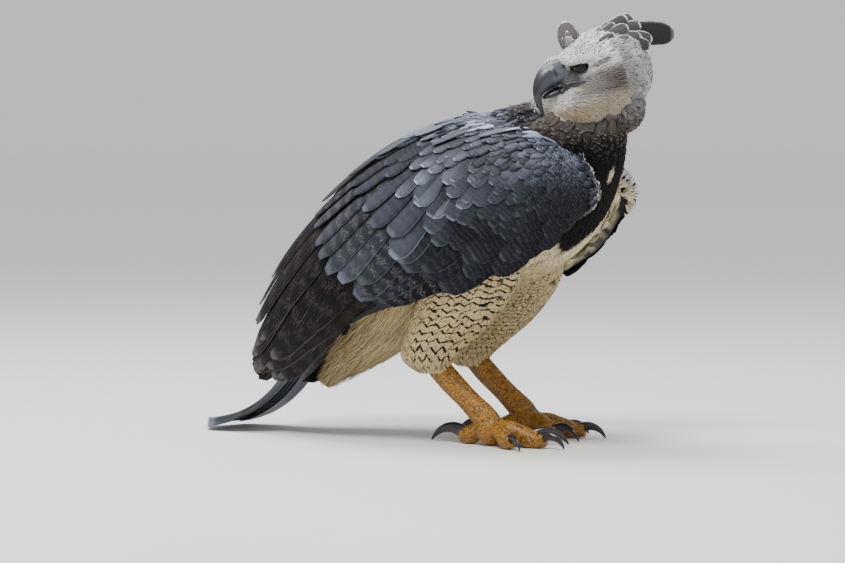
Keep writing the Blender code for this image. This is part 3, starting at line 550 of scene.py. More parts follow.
def outside_skull(points, margin=1.0):
    """Whether points lie outside the skull."""
    forward, left, up = np.moveaxis(head_place(points), -1, 0)
    row = smooth(SKULL, np.interp(forward, [r[0] for r in SKULL], np.arange(len(SKULL))))
    inside = (left / row[..., 3]) ** 2 + ((up - row[..., 1]) / row[..., 2]) ** 2
    return (inside > margin) | (forward > SKULL[-1][0])


class Flock:
    """Feathers, tufts and scales of one piece, gathered before they become one mesh."""

    def __init__(self):
        self.points, self.quads, self.triangles = [], [], []
        self.values = {name: [] for name in ("tint", "across", "along", "seed", "rim", "bars", "place")}
        self.count = 0

    def add(self, spine, normal, half_width, columns, thickness, tint, place, **looks):
        """Thin closed vanes along spines: arrays of feather, row and XYZ."""
        number, rows, _ = spine.shape
        run = np.gradient(spine, axis=1)
        across = unit(np.cross(normal, run))
        normal = unit(np.cross(run, across))
        top = np.linspace(-1, 1, columns)
        share = np.concatenate([top, top[-2:0:-1]])
        under = np.concatenate([np.zeros(columns), np.ones(columns - 2)])
        camber, roll = looks.get("camber", 0.12), looks.get("roll", 0.0)
        shaft, fray = looks.get("shaft", 0.0), looks.get("fray", 0.0)
        half = np.repeat(half_width[:, :, None], len(share), axis=2)
        if fray:
            chance = np.random.default_rng(len(self.points) + 11)
            notch = chance.uniform(1 - fray, 1.0, half.shape)
            half = half * np.where(np.abs(share) > 0.99, notch, 1.0)
        height = -camber * half * share**2 * 2
        height = height + half * share * np.broadcast_to(np.reshape(roll, (-1, 1, 1)), (number, 1, 1))
        thick = np.broadcast_to(np.reshape(thickness, (-1, 1, 1)), (number, rows, 1))
        height = height + thick * (0.5 - under) + shaft * thick * (np.abs(share) < 0.01) * (1 - under)
        points = (
            spine[:, :, None, :]
            + across[:, :, None, :] * (half * share)[..., None]
            + normal[:, :, None, :] * height[..., None]
        )
        ring = len(share)
        self.faces(number, rows, ring, columns)
        self.points.append(points.reshape(-1, 3))
        along = np.linspace(0, 1, rows)[None, :, None] + np.zeros((number, rows, ring))
        self.keep("along", along)
        self.keep("across", np.broadcast_to(share, along.shape))
        for name in ("seed", "rim", "bars"):
            value = looks.get(name, 0.0)
            self.keep(name, np.broadcast_to(np.reshape(value, (-1, 1, 1)), (number, rows, ring)))
        tint = np.asarray(tint, float)
        if tint.ndim == 2:
            tint = tint[:, None, :]
        tint = np.broadcast_to(tint[:, :, None, :], (number, rows, ring, 3))
        self.values["tint"].append(tint.reshape(-1, 3))
        patch = np.stack([share + 0 * along, along * 2 - 1 + 0.25 * under], axis=-1)
        size = looks.get("patch", (0.0015, 0.0015))
        spot = np.clip(place, 0.002, 0.998)[:, None, None, :] + patch * np.array(size)
        self.values["place"].append(np.clip(spot, 0, 1).reshape(-1, 2))
        self.count += number * rows * ring

    def keep(self, name, values):
        """Store one value for each point."""
        self.values[name].append(np.ascontiguousarray(values, dtype=np.float32).ravel())

    def faces(self, number, rows, ring, columns):
        """Faces of closed vanes of one make."""
        row, spot = np.meshgrid(np.arange(rows - 1), np.arange(ring), indexing="ij")
        here, beside = row * ring + spot, row * ring + (spot + 1) % ring
        quads = np.stack([here, here + ring, beside + ring, beside], axis=-1).reshape(-1, 4)
        end = (rows - 1) * ring
        caps = [(0, 1, ring - 1), (columns - 2, columns - 1, columns)]
        cap_quads = [(j, j + 1, ring - j - 1, ring - j) for j in range(1, columns - 2)]
        triangles = caps + [tuple(end + i for i in reversed(cap)) for cap in caps]
        cap_quads = cap_quads + [tuple(end + i for i in reversed(cap)) for cap in cap_quads]
        if cap_quads:
            quads = np.vstack([quads, cap_quads])
        start = self.count + np.arange(number)[:, None, None] * rows * ring
        self.quads.append((quads[None] + start).reshape(-1, 4))
        self.triangles.append((np.array(triangles)[None] + start).reshape(-1, 3))

    def build(self, name, material, nodes=(), field=None):
        """Turn everything gathered into one mesh piece, with any values that a field gives at its points."""
        points = np.concatenate(self.points)
        values = {key: np.concatenate(parts) for key, parts in self.values.items()}
        if field is not None:
            values.update(field(points))
        quads, triangles = np.concatenate(self.quads), np.concatenate(self.triangles)
        settle(mesh_piece(name, points, quads, triangles, values, material), nodes)


class Draws:
    """Random values for the feathers of one lot."""

    def __init__(self, chance, number):
        self.chance = chance
        self.number = number

    def even(self, low=0.0, high=1.0):
        """A value for each feather, even between two."""
        return self.chance.uniform(low, high, self.number)

    def column(self, low, high):
        """The same, as a column that scales colours."""
        return self.chance.uniform(low, high, (self.number, 1))

    def near(self, spread, middle=0.0):
        """A value for each feather, spread round a middle."""
        return self.chance.normal(middle, spread, self.number)


def add_object(name, data):
    """A new object in the scene."""
    thing = bpy.data.objects.new(name, data)
    bpy.context.scene.collection.objects.link(thing)
    return thing


def paint(mesh, name, values):
    """Keep a number or a colour at each point of a mesh."""
    if values.ndim == 2:
        layer = mesh.attributes.new(name, "FLOAT_COLOR", "POINT")
        full = np.concatenate([values, np.ones((len(values), 1))], axis=1)
        layer.data.foreach_set("color", full.astype(np.float32).ravel())
    else:
        layer = mesh.attributes.new(name, "FLOAT", "POINT")
        layer.data.foreach_set("value", values.astype(np.float32))


def mesh_piece(name, points, quads, triangles, values, material):
    """A smooth mesh object from arrays, with its values and its bake map."""
    mesh = bpy.data.meshes.new(name)
    mesh.vertices.add(len(points))
    mesh.vertices.foreach_set("co", (points + SHIFT).astype(np.float32).ravel())
    corners = np.concatenate([quads.ravel(), triangles.ravel()]).astype(np.int32)
    starts = np.concatenate([np.arange(len(quads)) * 4, len(quads) * 4 + np.arange(len(triangles)) * 3])
    mesh.loops.add(len(corners))
    mesh.loops.foreach_set("vertex_index", corners)
    mesh.polygons.add(len(starts))
    mesh.polygons.foreach_set("loop_start", starts.astype(np.int32))
    mesh.update(calc_edges=True)
    for key, value in values.items():
        if key != "place":
            paint(mesh, key, value)
    bake = mesh.uv_layers.new(name="OFBake")
    bake.data.foreach_set("uv", values["place"][corners].astype(np.float32).ravel())
    mesh.polygons.foreach_set("use_smooth", np.ones(len(starts), bool))
    mesh.materials.append(material)
    return add_object(name, mesh)


def settle(piece, nodes):
    """Hang a piece from the root, and hide the nodes that it stands for."""
    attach(piece, "root")
    if nodes:
        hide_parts(*nodes)


def shape_of(kind, rows):
    """The share of its full width that a feather has at each row."""
    places, shares = SHAPES[kind]
    return np.interp(np.linspace(0, 1, rows), places, shares)


def lay(flock, surface, u, v, length, width, colour, turn, toward=-1, rows=4, columns=3, kind="leaf",
        **looks):
    """Feathers laid on a surface along its lie, their roots sunk and their tips lifted."""
    number = len(u)
    if not number:
        return
    depth, lift = looks.pop("depth", 0.002), looks.pop("lift", 0.003)
    curl, base = looks.pop("curl", 0.0), looks.pop("base", 0.0)
    _, normal, slope_u, slope_v = surface.frame(u, v)
    ahead = unit(slope_u) * toward
    beside = np.cross(normal, ahead)
    turn = np.broadcast_to(turn, u.shape)
    heading = ahead * np.cos(turn)[:, None] + beside * np.sin(turn)[:, None]
    uu, uv, vv = ((slope_u**2).sum(-1), (slope_u * slope_v).sum(-1), (slope_v**2).sum(-1))
    first, second = (heading * slope_u).sum(-1), (heading * slope_v).sum(-1)
    area = np.maximum(uu * vv - uv**2, 1e-14)
    du, dv = (first * vv - second * uv) / area, (second * uu - first * uv) / area
    t = np.linspace(0, 1, rows)
    spine, normal, _, _ = surface.frame(
        u[:, None] + (du * length)[:, None] * t, v[:, None] + (dv * length)[:, None] * t
    )
    depth, lift, base = (
        np.broadcast_to(np.reshape(value, (-1, 1)), (number, 1)) for value in (depth, lift, base)
    )
    height = base - depth + (depth + lift) * t + curl * t**2
    spine = spine + normal * height[..., None]
    half = np.reshape(width, (-1, 1)) / 2 * shape_of(kind, rows)
    flock.add(
        spine, normal, np.broadcast_to(half, (number, rows)), columns, looks.pop("thickness"),
        colour(spine) if callable(colour) else colour, surface.unwrap(u, v), **looks,
    )


def scatter(surface, spacing, chance, low=None, high=None, keep=None):
    """Places over a surface, about one to each square of the spacing, in uneven rows; and their draws."""
    low = surface.low if low is None else np.array(low, float)
    high = surface.high if high is None else np.array(high, float)
    fine = 60
    u_edges, v_edges = np.linspace(low[0], high[0], fine + 1), np.linspace(low[1], high[1], fine + 1)
    u, v = np.meshgrid((u_edges[1:] + u_edges[:-1]) / 2, (v_edges[1:] + v_edges[:-1]) / 2, indexing="ij")
    _, _, slope_u, slope_v = surface.frame(u, v)
    area = np.linalg.norm(np.cross(slope_u, slope_v), axis=-1)
    area = area * (u_edges[1] - u_edges[0]) * (v_edges[1] - v_edges[0])
    gap = spacing(surface.at(u, v)) if callable(spacing) else spacing
    wanted = area / (gap * gap)
    total = wanted.sum()
    chosen = np.searchsorted(np.cumsum(wanted.ravel()) / total, (np.arange(int(total)) + 0.5) / int(total))
    chosen = np.minimum(chosen, wanted.size - 1)
    u = u.ravel()[chosen] + chance.uniform(-0.5, 0.5, len(chosen)) * (u_edges[1] - u_edges[0])
    v = v.ravel()[chosen] + chance.uniform(-0.5, 0.5, len(chosen)) * (v_edges[1] - v_edges[0])
    if keep is not None:
        kept = keep(surface.at(u, v))
        u, v = u[kept], v[kept]
    return u, v, Draws(chance, len(u))


class Shade:
    """The nodes of one material round its Principled shader."""

    def __init__(self, name, roughness, **inputs):
        self.material = bpy.data.materials.new(name)
        self.material.use_nodes = True
        self.tree = self.material.node_tree
        self.shader = self.tree.nodes["Principled BSDF"]
        self.shader.inputs["Roughness"].default_value = roughness
        for key, value in inputs.items():
            self.shader.inputs[key.replace("_", " ")].default_value = value

    def node(self, kind, inputs, **settings):
        """A new node with its settings, and its sockets linked or set."""
        node = self.tree.nodes.new("ShaderNode" + kind)
        for key, value in settings.items():
            setattr(node, key, value)
        for socket, value in inputs.items():
            self.feed(node.inputs[socket], value)
        return node

    def feed(self, socket, value):
        """Link a socket to an output, or set its value."""
        if isinstance(value, bpy.types.NodeSocket):
            self.tree.links.new(value, socket)
        elif socket.type == "RGBA":
            socket.default_value = (*value, 1.0)
        else:
            socket.default_value = value

    def attribute(self, name, output="Fac"):
        """A value that the mesh carries."""
        return self.node("Attribute", {}, attribute_name=name).outputs[output]

    def math(self, operation, first, second=0.0, clamp=False):
        """A sum, product or other operation on two numbers."""
        return self.node("Math", {0: first, 1: second}, operation=operation, use_clamp=clamp).outputs[0]

    def times(self, first, second, clamp=False):
        """The product of two numbers."""
        return self.math("MULTIPLY", first, second, clamp)

    def ramp(self, value, low, high):
        """A smooth step from 0 at low to 1 at high."""
        inputs = {0: value, 1: low, 2: high, 3: 0.0, 4: 1.0}
        return self.node("MapRange", inputs, interpolation_type="SMOOTHSTEP").outputs[0]

    def mix(self, share, first, second):
        """A colour between two."""
        return self.node("Mix", {0: share, 6: first, 7: second}, data_type="RGBA").outputs[2]

    def filter(self, first, second):
        """The product of two colours."""
        return self.node("MixRGB", {0: 1.0, 1: first, 2: second}, blend_type="MULTIPLY").outputs[0]

    def noise_at(self, vector, scale, detail):
        """Noise at the places that a vector gives."""
        inputs = {"Vector": vector, "Scale": scale, "Detail": detail}
        return self.node("TexNoise", inputs, noise_dimensions="3D").outputs[0]

    def noise(self, scale, detail=3.0, stretch=None):
        """Noise over the object's own space."""
        vector = self.node("TexCoord", {}).outputs["Object"]
        if stretch:
            vector = self.node("VectorMath", {0: vector, 1: stretch}, operation="MULTIPLY").outputs[0]
        return self.noise_at(vector, scale, detail)

    def vane_noise(self, along_scale, across_scale, detail=2.0):
        """Noise in a feather's own places, unlike from feather to feather."""
        along = self.times(self.attribute("along"), along_scale)
        across = self.times(self.attribute("across"), across_scale)
        seed = self.times(self.attribute("seed"), 37.0)
        return self.noise_at(self.node("CombineXYZ", {0: along, 1: across, 2: seed}).outputs[0], 1.0, detail)

    def finish(self, colour, height=None, strength=0.3, distance=0.001):
        """Link the colour and the bump, and give the material."""
        self.feed(self.shader.inputs["Base Color"], colour)
        if height is not None:
            bump = self.node("Bump", {"Height": height, "Strength": strength, "Distance": distance})
            self.feed(self.shader.inputs["Normal"], bump.outputs[0])
        return self.material


def barbs(shade, pitch, slant):
    """Fine slanting lines of a feather's barbs, from 0 to 1."""
    across = shade.math("ABSOLUTE", shade.attribute("across"))
    along = shade.times(shade.attribute("along"), pitch)
    place = shade.math("SUBTRACT", along, shade.times(across, slant))
    wander = shade.times(shade.vane_noise(6.0, 1.5), 2.5)
    wave = shade.math("SINE", shade.math("ADD", place, wander))
    return shade.math("MULTIPLY_ADD", wave, 0.5)


def rim_share(shade, edge):
    """How much a place on a feather belongs to its pale rim."""
    across = shade.math("ABSOLUTE", shade.attribute("across"))
    along = shade.attribute("along")
    side = shade.ramp(across, edge, 0.98)
    tip = shade.ramp(along, 0.5 + 0.5 * edge, 0.98)
    both = shade.math("MAXIMUM", side, tip)
    late = shade.ramp(along, 0.30, 0.65)
    return shade.times(shade.times(both, late), shade.attribute("rim"), clamp=True)


def feather_material(name, rim, roughness, pitch=60.0, slant=9.0, pattern=None, bar=None, painted_highlight=0.0,
                     relief=0.35, edge=0.62):
    """Feathers with barbs, a rim, a paler outer half where a painted highlight falls on them, and bars or
    flecks of a pattern.
    """
    shade = Shade(name, roughness, Specular_IOR_Level=FEATHER_SHINE)
    tint = shade.attribute("tint", "Color")
    lines = barbs(shade, pitch, slant)
    soft = shade.vane_noise(3.0, 1.2)
    colour = shade.mix(shade.times(soft, 0.45), tint, shade.filter(tint, (0.55, 0.55, 0.57)))
    # Painted highlight: the outer half of each feather is lightened towards its rim colour.
    if painted_highlight:
        outer = shade.times(shade.ramp(shade.attribute("along"), 0.35, 1.0), shade.attribute("rim"))
        colour = shade.mix(shade.times(shade.times(outer, soft), painted_highlight), colour, rim)
    colour = shade.mix(rim_share(shade, edge), colour, rim)
    if pattern is not None:
        share = shade.times(pattern(shade), shade.attribute("bars"), clamp=True)
        colour = shade.mix(share, colour, bar)
    colour = shade.mix(shade.times(lines, 0.18), colour, shade.filter(colour, (0.45, 0.45, 0.47)))
    shaft = shade.ramp(shade.math("ABSOLUTE", shade.attribute("across")), 0.07, 0.0)
    height = shade.math("ADD", shade.times(lines, 0.4), shade.times(shaft, 0.8))
    return shade.finish(colour, height, relief, 0.0006)


def waves(shade, pitch, drift, along_scale, across_scale):
    """Uneven waves along a feather, from -1 to 1."""
    wander = shade.times(shade.vane_noise(along_scale, across_scale), drift)
    place = shade.times(shade.attribute("along"), pitch)
    return shade.math("SINE", shade.math("ADD", place, wander))


def mottle(shade):
    """Broken pale bars across a flight feather."""
    wave = waves(shade, 52.0, 6.0, 7.0, 3.0)
    grain = shade.vane_noise(95.0, 7.0, detail=3.0)
    return shade.times(shade.ramp(wave, -0.6, 0.8), shade.ramp(grain, 0.45, 0.58))


def bands(shade):
    """Broad pale bands across a tail feather."""
    wave = waves(shade, 25.0, 1.4, 4.0, 2.0)
    grain = shade.vane_noise(50.0, 8.0, detail=3.0)
    return shade.times(shade.ramp(wave, 0.1, 0.6), shade.ramp(grain, 0.30, 0.62))


def flecks(shade):
    """Small dark specks near a feather's tip."""
    grain = shade.vane_noise(7.0, 2.2, detail=1.0)
    return shade.times(shade.ramp(grain, 0.56, 0.66), shade.ramp(shade.attribute("along"), 0.3, 0.6))


def skin_material(name):
    """Skin under the coat, in the coat's own colours."""
    shade = Shade(name, 0.85)
    tint = shade.attribute("tint", "Color")
    grain = shade.noise(420.0)
    dark = shade.filter(tint, (0.5, 0.5, 0.5))
    return shade.finish(shade.mix(shade.times(grain, 0.6), tint, dark), grain, 0.5, 0.001)


def loft_arrays(rings):
    """Points, quads and triangles of a closed skin over rings: an array of row, place round and XYZ."""
    rows, count, _ = rings.shape
    row, spot = np.meshgrid(np.arange(rows - 1), np.arange(count), indexing="ij")
    here, beside = row * count + spot, row * count + (spot + 1) % count
    quads = np.stack([here, beside, beside + count, here + count], axis=-1).reshape(-1, 4)
    points = np.vstack([rings.reshape(-1, 3), rings[0].mean(axis=0), rings[-1].mean(axis=0)])
    around = np.arange(count)
    after = (around + 1) % count
    end = (rows - 1) * count
    first = np.stack([after, around, np.full(count, rows * count)], axis=-1)
    last = np.stack([end + around, end + after, np.full(count, rows * count + 1)], axis=-1)
    return points, quads, np.vstack([first, last])


def surface_rings(surface, rows, count, inset):
    """Rings over a whole surface, drawn in by the inset."""
    u, v = np.meshgrid(
        np.linspace(surface.low[0], surface.high[0], rows), np.arange(count) * TAU / count, indexing="ij"
    )
    point, normal, _, _ = surface.frame(u, v)
    return point - normal * inset


def fused(name, lofts, voxel, smoothing):
    """One mesh that fuses closed lofts into a single skin."""
    points, quads, triangles, start = [], [], [], 0
    for part in lofts:
        points.append(part[0])
        quads.append(part[1] + start)
        triangles.append(part[2] + start)
        start += len(part[0])
    mesh = bpy.data.meshes.new(name)
    faces = np.vstack(quads).tolist() + np.vstack(triangles).tolist()
    mesh.from_pydata((np.vstack(points) + SHIFT).tolist(), [], faces)
    piece = add_object(name, mesh)
    remesh = piece.modifiers.new("fuse", "REMESH")
    remesh.mode = "VOXEL"
    remesh.voxel_size = voxel
    soften = piece.modifiers.new("soften", "SMOOTH")
    soften.iterations = smoothing
    graph = bpy.context.evaluated_depsgraph_get()
    mesh = bpy.data.meshes.new_from_object(piece.evaluated_get(graph))
    piece.modifiers.clear()
    piece.data = mesh
    mesh.name = name
    return piece


def mesh_points(mesh):
    """A mesh's points in the bird's frame."""
    points = np.empty(len(mesh.vertices) * 3, np.float32)
    mesh.vertices.foreach_get("co", points)
    return points.reshape(-1, 3).astype(float) - SHIFT


def unwrap(piece):
    """Unfold a fused skin into its bake map."""
    bpy.ops.object.select_all(action="DESELECT")
    bpy.context.view_layer.objects.active = piece
    piece.select_set(True)
    piece.data.uv_layers.new(name="OFBake")
    bpy.ops.object.mode_set(mode="EDIT")
    bpy.ops.mesh.select_all(action="SELECT")
    bpy.ops.uv.smart_project(angle_limit=math.radians(66), island_margin=0.002, scale_to_bounds=True)
    bpy.ops.object.mode_set(mode="OBJECT")


def coat_colour(points):
    """Colour of the coat anywhere on the body or the head."""
    place = head_place(points)
    near = oval_distance(place, (-4, 0, 2), (66, 60, 64))
    throat = oval_distance(place, (54, -6, -24), (48, 46, 40))
    return mix(head_colour(points), body_colour(points), step(0.98, 1.06, np.minimum(near, throat)))


def make_body_skin():
    """The one skin of the trunk, neck, head, vent and thighs, under the coat."""
    lofts = [loft_arrays(surface_rings(TRUNK_SKIN, 49, 64, SKIN_DEPTH))]
    lofts.append(loft_arrays(surface_rings(SKULL_SKIN, 41, 64, SKIN_DEPTH * 0.5)))
    lofts.append(loft_arrays(surface_rings(VENT_SKIN, 25, 40, SKIN_DEPTH)))
    for side in (RIGHT, LEFT):
        points, quads, triangles = loft_arrays(surface_rings(THIGH_SKINS[side], 25, 40, SKIN_DEPTH))
        lofts.append((points, quads[:, ::-1], triangles[:, ::-1]))
    rounded = [brow_surface(side) for side in (RIGHT, LEFT)]
    rounded += [throat_surface(lobe) for lobe in (*THROAT_LOBES, NAPE_LOBE)]
    for surface in rounded:
        lofts.append(loft_arrays(surface_rings(surface, 20, 32, 0.0010)))
    piece = fused("body_skin", lofts, SKIN_VOXEL, 6)
    paint(piece.data, "tint", coat_colour(mesh_points(piece.data)))
    piece.data.shade_smooth()
    unwrap(piece)
    piece.data.materials.append(skin_material("skin_under_coat"))
    settle(piece, ("torso", "neck", "head", "vent", "thigh_right", "thigh_left"))


def shades(colour, draw, spread):
    """A colour function whose feathers differ a little in brightness."""
    gain = draw.chance.uniform(1 - spread, 1 + spread, (draw.number, 1, 1))

    def tint(points):
        return colour(points) * gain

    return tint


def wing_hides(points):
    """Whether points of the trunk lie behind a folded wing."""
    x, y, z = np.moveaxis(points, -1, 0)
    lower = np.array(WING_LOWER)
    edge = np.interp(x, lower[::-1, 0], lower[::-1, 2])
    return (np.abs(y) > 0.045) & (x < 0.135) & (z > edge + 0.035)


def trunk_coat(name, chance, material):
    """Part of the trunk's coat."""
    low, high, gap, length, width, ruffle = TRUNK_COATS[name]
    flock = Flock()
    u, v, draw = scatter(TRUNK_SKIN, gap, chance, (low, 0), (high, TAU), lambda points: ~wing_hides(points))
    lay(
        flock, TRUNK_SKIN, u, v, draw.even(0.8, 1.2) * length, draw.even(0.8, 1.2) * width,
        shades(body_colour, draw, 0.07), turn=draw.near(0.12), roll=draw.near(ruffle), seed=draw.even(),
        **TRUNK_LOOKS[name],
    )
    flock.build(name, material)


def thigh_marks(side):
    """A function that gives the places of a thigh's points in its pattern of bars: round it and down it."""

    def places(points):
        rows = np.array(THIGH)[::-1]
        x, y, z = np.moveaxis(points, -1, 0)
        ahead = x - np.interp(z, rows[:, 2], rows[:, 0])
        aside = (y - side * np.interp(z, rows[:, 2], rows[:, 1])) * side
        angle = np.arctan2(aside, ahead)
        spread = 1 + 0.9 * step(0.10, -0.35, np.sin(angle))
        high = np.clip(z - 0.10, 0, 0.2)
        rise = (high / 0.0165 + (high / 0.075) ** 2 * 1.4) * spread
        return {"ring": angle * 0.052 / 0.022 * spread, "rise": rise}

    return places


def make_thigh_coat(side, chance, materials):
    """The short smooth coat of one thigh, with its bars, and the tuft at its end."""
    flock = Flock()
    surface = THIGH_SKINS[side]
    u, v, draw = scatter(surface, 0.0042, chance, (0.0, 0), (4.9, TAU))
    low = step(0.128, 0.108, surface.at(u, v)[:, 2])
    outward = np.sin(v) * side
    behind = step(-0.35, -0.85, np.cos(v))
    bars = (1 - low) * (1 - 0.75 * behind) * (0.80 + 0.20 * step(-0.3, 0.2, outward))
    lay(
        flock, surface, u, v, draw.even(0.012, 0.017) * (1 + 0.2 * low),
        draw.even(0.0068, 0.0092) * (1 - 0.55 * low), shades(body_colour, draw, 0.05), toward=1,
        turn=draw.near(0.12), depth=0.0018, lift=0.0012 + 0.002 * low, camber=0.08, roll=draw.near(0.04),
        bars=bars, seed=draw.even(), thickness=DOWN_THICKNESS,
    )
    flock.build(f"thigh_coat_{SIDE_NAMES[side]}", materials["barred"], field=thigh_marks(side))


def zigzags(shade):
    """Thin broken zigzag bars over a thigh."""
    ring, rise = shade.attribute("ring"), shade.attribute("rise")
    vector = shade.node("CombineXYZ", {0: ring, 1: rise, 2: 0.0}).outputs[0]
    wander = shade.math("SUBTRACT", shade.noise_at(vector, 0.9, 2.0), 0.5)
    shifted = shade.math("ADD", ring, shade.times(wander, 1.2))
    tooth = shade.times(shade.math("PINGPONG", shifted, 0.5), 1.15)
    place = shade.math("ADD", shade.math("ADD", rise, tooth), shade.times(wander, 1.1))
    near = shade.math("ABSOLUTE", shade.math("SUBTRACT", shade.math("FRACT", place), 0.5))
    line = shade.ramp(near, 0.165, 0.10)
    return shade.times(line, shade.ramp(shade.noise_at(vector, 1.9, 1.0), 0.36, 0.42))


def make_vent_coat(chance, material):
    """The long soft feathers of the vent, with wisps that stand out from under the belly."""
    flock = Flock()
    u, v, draw = scatter(VENT_SKIN, 0.0041, chance, (0.2, 0), (3.95, TAU))
    lay(
        flock, VENT_SKIN, u, v, draw.even(0.024, 0.052) * (1 + 0.55 * step(2.4, 3.6, u)),
        draw.even(0.0020, 0.0042), shades(body_colour, draw, 0.34), toward=1, turn=draw.near(0.16),
        kind="lance", lift=draw.even(0.0005, 0.0075) * step(0.5, 3.0, u), seed=draw.even(),
        thickness=DOWN_THICKNESS,
    )
    draw = Draws(chance, VENT_WISPS)
    u, v = 0.9 + 2.7 * draw.even(), draw.even(1.05 * math.pi, 1.95 * math.pi)
    lay(
        flock, VENT_SKIN, u, v, draw.even(0.030, 0.058), draw.even(0.0014, 0.0030),
        shades(body_colour, draw, 0.40), toward=1, turn=draw.near(0.30), rows=6, kind="lance", depth=0.001,
        lift=draw.even(0.003, 0.015), seed=draw.even(), thickness=DOWN_THICKNESS,
    )
    flock.build("vent_coat", material)


def make_body_coats(materials):
    """The coats of the breast, belly, neck, vent and thighs."""
    chance = np.random.default_rng(3)
    for name in TRUNK_COATS:
        trunk_coat(name, chance, materials["down"])
    make_ruff(chance, materials)
    make_vent_coat(chance, materials["down"])
    for side in (RIGHT, LEFT):
        make_thigh_coat(side, chance, materials)


def under_throat(points):
    """Whether points of the neck lie low enough to leave the throat free."""
    x, y, z = np.moveaxis(points, -1, 0)
    low = z < 0.452 + 0.045 * step(0.01, 0.05, y) + 0.03 * step(0.12, 0.09, x)
    place = head_place(points)
    bare = outside_skull(points) & (x < 0.15)
    for middle, reach in THROAT_LOBES:
        bare &= oval_distance(place, middle, reach) > 1.0
    return low | bare


def make_ruff(chance, materials):
    """The scalloped feathers of the neck, pale at their edges, that hang from under the head."""
    flock = Flock()
    u, v, draw = scatter(TRUNK_SKIN, 0.0055, chance, (5.9, 0), (7.8, TAU), under_throat)
    high = step(0.405, 0.455, TRUNK_SKIN.at(u, v)[:, 2])
    lay(
        flock, TRUNK_SKIN, u, v, draw.even(0.017, 0.023), draw.even(0.009, 0.012),
        shades(body_colour, draw, 0.25), turn=draw.near(0.16), rows=5, columns=5, kind="scale", depth=0.0026,
        lift=0.0012 + 0.0022 * high * draw.even(0.3, 1), roll=draw.near(0.10), rim=high * draw.even(0.2, 0.7),
        seed=draw.even(), thickness=0.0003,
    )
    flock.build("neck_ruff", materials["ruff"], ("neck",))


def head_tuft_size(points):
    """Gap, length, width and roughness of the head's tufts at points of the bird's frame."""
    forward, _, up = np.moveaxis(head_place(points), -1, 0)
    face = step(0, 45, forward)
    rear = step(-12, -24, forward)
    crown = step(22, 40, up)
    length = 0.0075 - 0.0030 * face + 0.0100 * rear + 0.0015 * crown
    rough = 0.30 + 0.70 * np.maximum(crown, rear)
    return length * (0.29 + 0.05 * rear), length, length * (0.40 + 0.30 * rear - 0.08 * face), rough


def clear_of_eye(points):
    """Whether points of the head leave the eyes and the gape free."""
    forward, left, up = np.moveaxis(head_place(points), -1, 0)
    near = ((forward - EYE[0] - 1.5) / 15.0) ** 2 + ((up - EYE[2] + 0.5) / 8.6) ** 2
    middle = np.interp(forward, [46, 69], [7.5, 5.0])
    reach = np.interp(forward, [44, 48, 69, 74], [0.0, 2.5, 9.5, 9.5])
    gape = (forward > 45) & (np.abs(up - middle) < reach)
    return ((near > 1) & ~gape) | (np.abs(left) < 12)


def make_skull_coat(name, chance, material):
    """Part of the head's coat: small tufts on the face, broad scalloped ones behind the ears."""
    low, high = HEAD_COATS[name]
    rear = name == "head_coat_rear"
    flock = Flock()
    span = (low, 0), (high, TAU)
    u, v, draw = scatter(SKULL_SKIN, lambda points: head_tuft_size(points)[0], chance, *span, clear_of_eye)
    points = SKULL_SKIN.at(u, v)
    _, length, width, rough = head_tuft_size(points)
    turn = turn_to(SKULL_SKIN, u, v, head_flow(points))
    lay(
        flock, SKULL_SKIN, u, v, length * draw.even(0.8, 1.25), width * draw.even(0.8, 1.2),
        shades(head_colour, draw, 0.05 + 0.32 * rough[:, None, None]), turn=turn + draw.near(0.18) * rough,
        rows=5 if rear else 4, columns=5 if rear else 3, kind="scale" if rear else "leaf", depth=0.0010,
        lift=0.0004 + length * 0.24 * rough, roll=draw.near(0.22) * rough,
        rim=(0.55 + 0.45 * rear) * rough * draw.even(0.3, 1), bars=rough * (draw.even() < 0.40),
        seed=draw.even(), thickness=DOWN_THICKNESS,
    )
    flock.build(name, material)


def make_head_coat(materials):
    """The head's coat, the scalloped nape and the hair-like throat."""
    chance = np.random.default_rng(5)
    for name in HEAD_COATS:
        make_skull_coat(name, chance, materials["head"])
    make_nape_coat(chance, materials)
    make_throat_coat(chance, materials)


def nape_tint(points):
    """Colours of the feathers under the back of the head, darker towards the neck."""
    _, _, up = np.moveaxis(head_place(points), -1, 0)
    return mix(PALE * 0.40, RUFF * 0.40, step(-22, -66, up))


def make_nape_coat(chance, materials):
    """The scalloped feathers under the back of the head."""
    flock = Flock()
    surface = throat_surface(NAPE_LOBE)
    u, v, draw = scatter(surface, 0.0040, chance, keep=lambda points: outside_skull(points, 0.94))
    turn = turn_to(surface, u, v, head_flow(surface.at(u, v)))
    lay(
        flock, surface, u, v, draw.even(0.011, 0.016), draw.even(0.0065, 0.009),
        nape_tint(surface.at(u, v)) * draw.column(0.45, 1.35), turn=turn + draw.near(0.16), rows=5, columns=5,
        kind="scale", depth=0.0016, lift=draw.even(0.0010, 0.0034), roll=draw.near(0.20),
        rim=draw.even(0.5, 1.0), seed=draw.even(), thickness=0.0003,
    )
    flock.build("nape_coat", materials["ruff"], ("head",))


def make_throat_coat(chance, materials):
    """The fine hair-like feathers of the throat."""
    flock = Flock()
    for lobe in THROAT_LOBES:
        surface = throat_surface(lobe)
        u, v, draw = scatter(surface, 0.0023, chance, keep=lambda points: outside_skull(points, 0.94))
        turn = turn_to(surface, u, v, head_flow(surface.at(u, v)))
        lay(
            flock, surface, u, v, draw.even(0.009, 0.017), draw.even(0.0016, 0.0027),
            shades(head_colour, draw, 0.16), turn=turn + draw.near(0.16), kind="lance", depth=0.0010,
            lift=draw.even(0.0003, 0.0020), camber=0.16, rim=0.3, bars=0.3, seed=draw.even(),
            thickness=0.0002,
        )
    flock.build("throat_coat", materials["head"], ("head",))


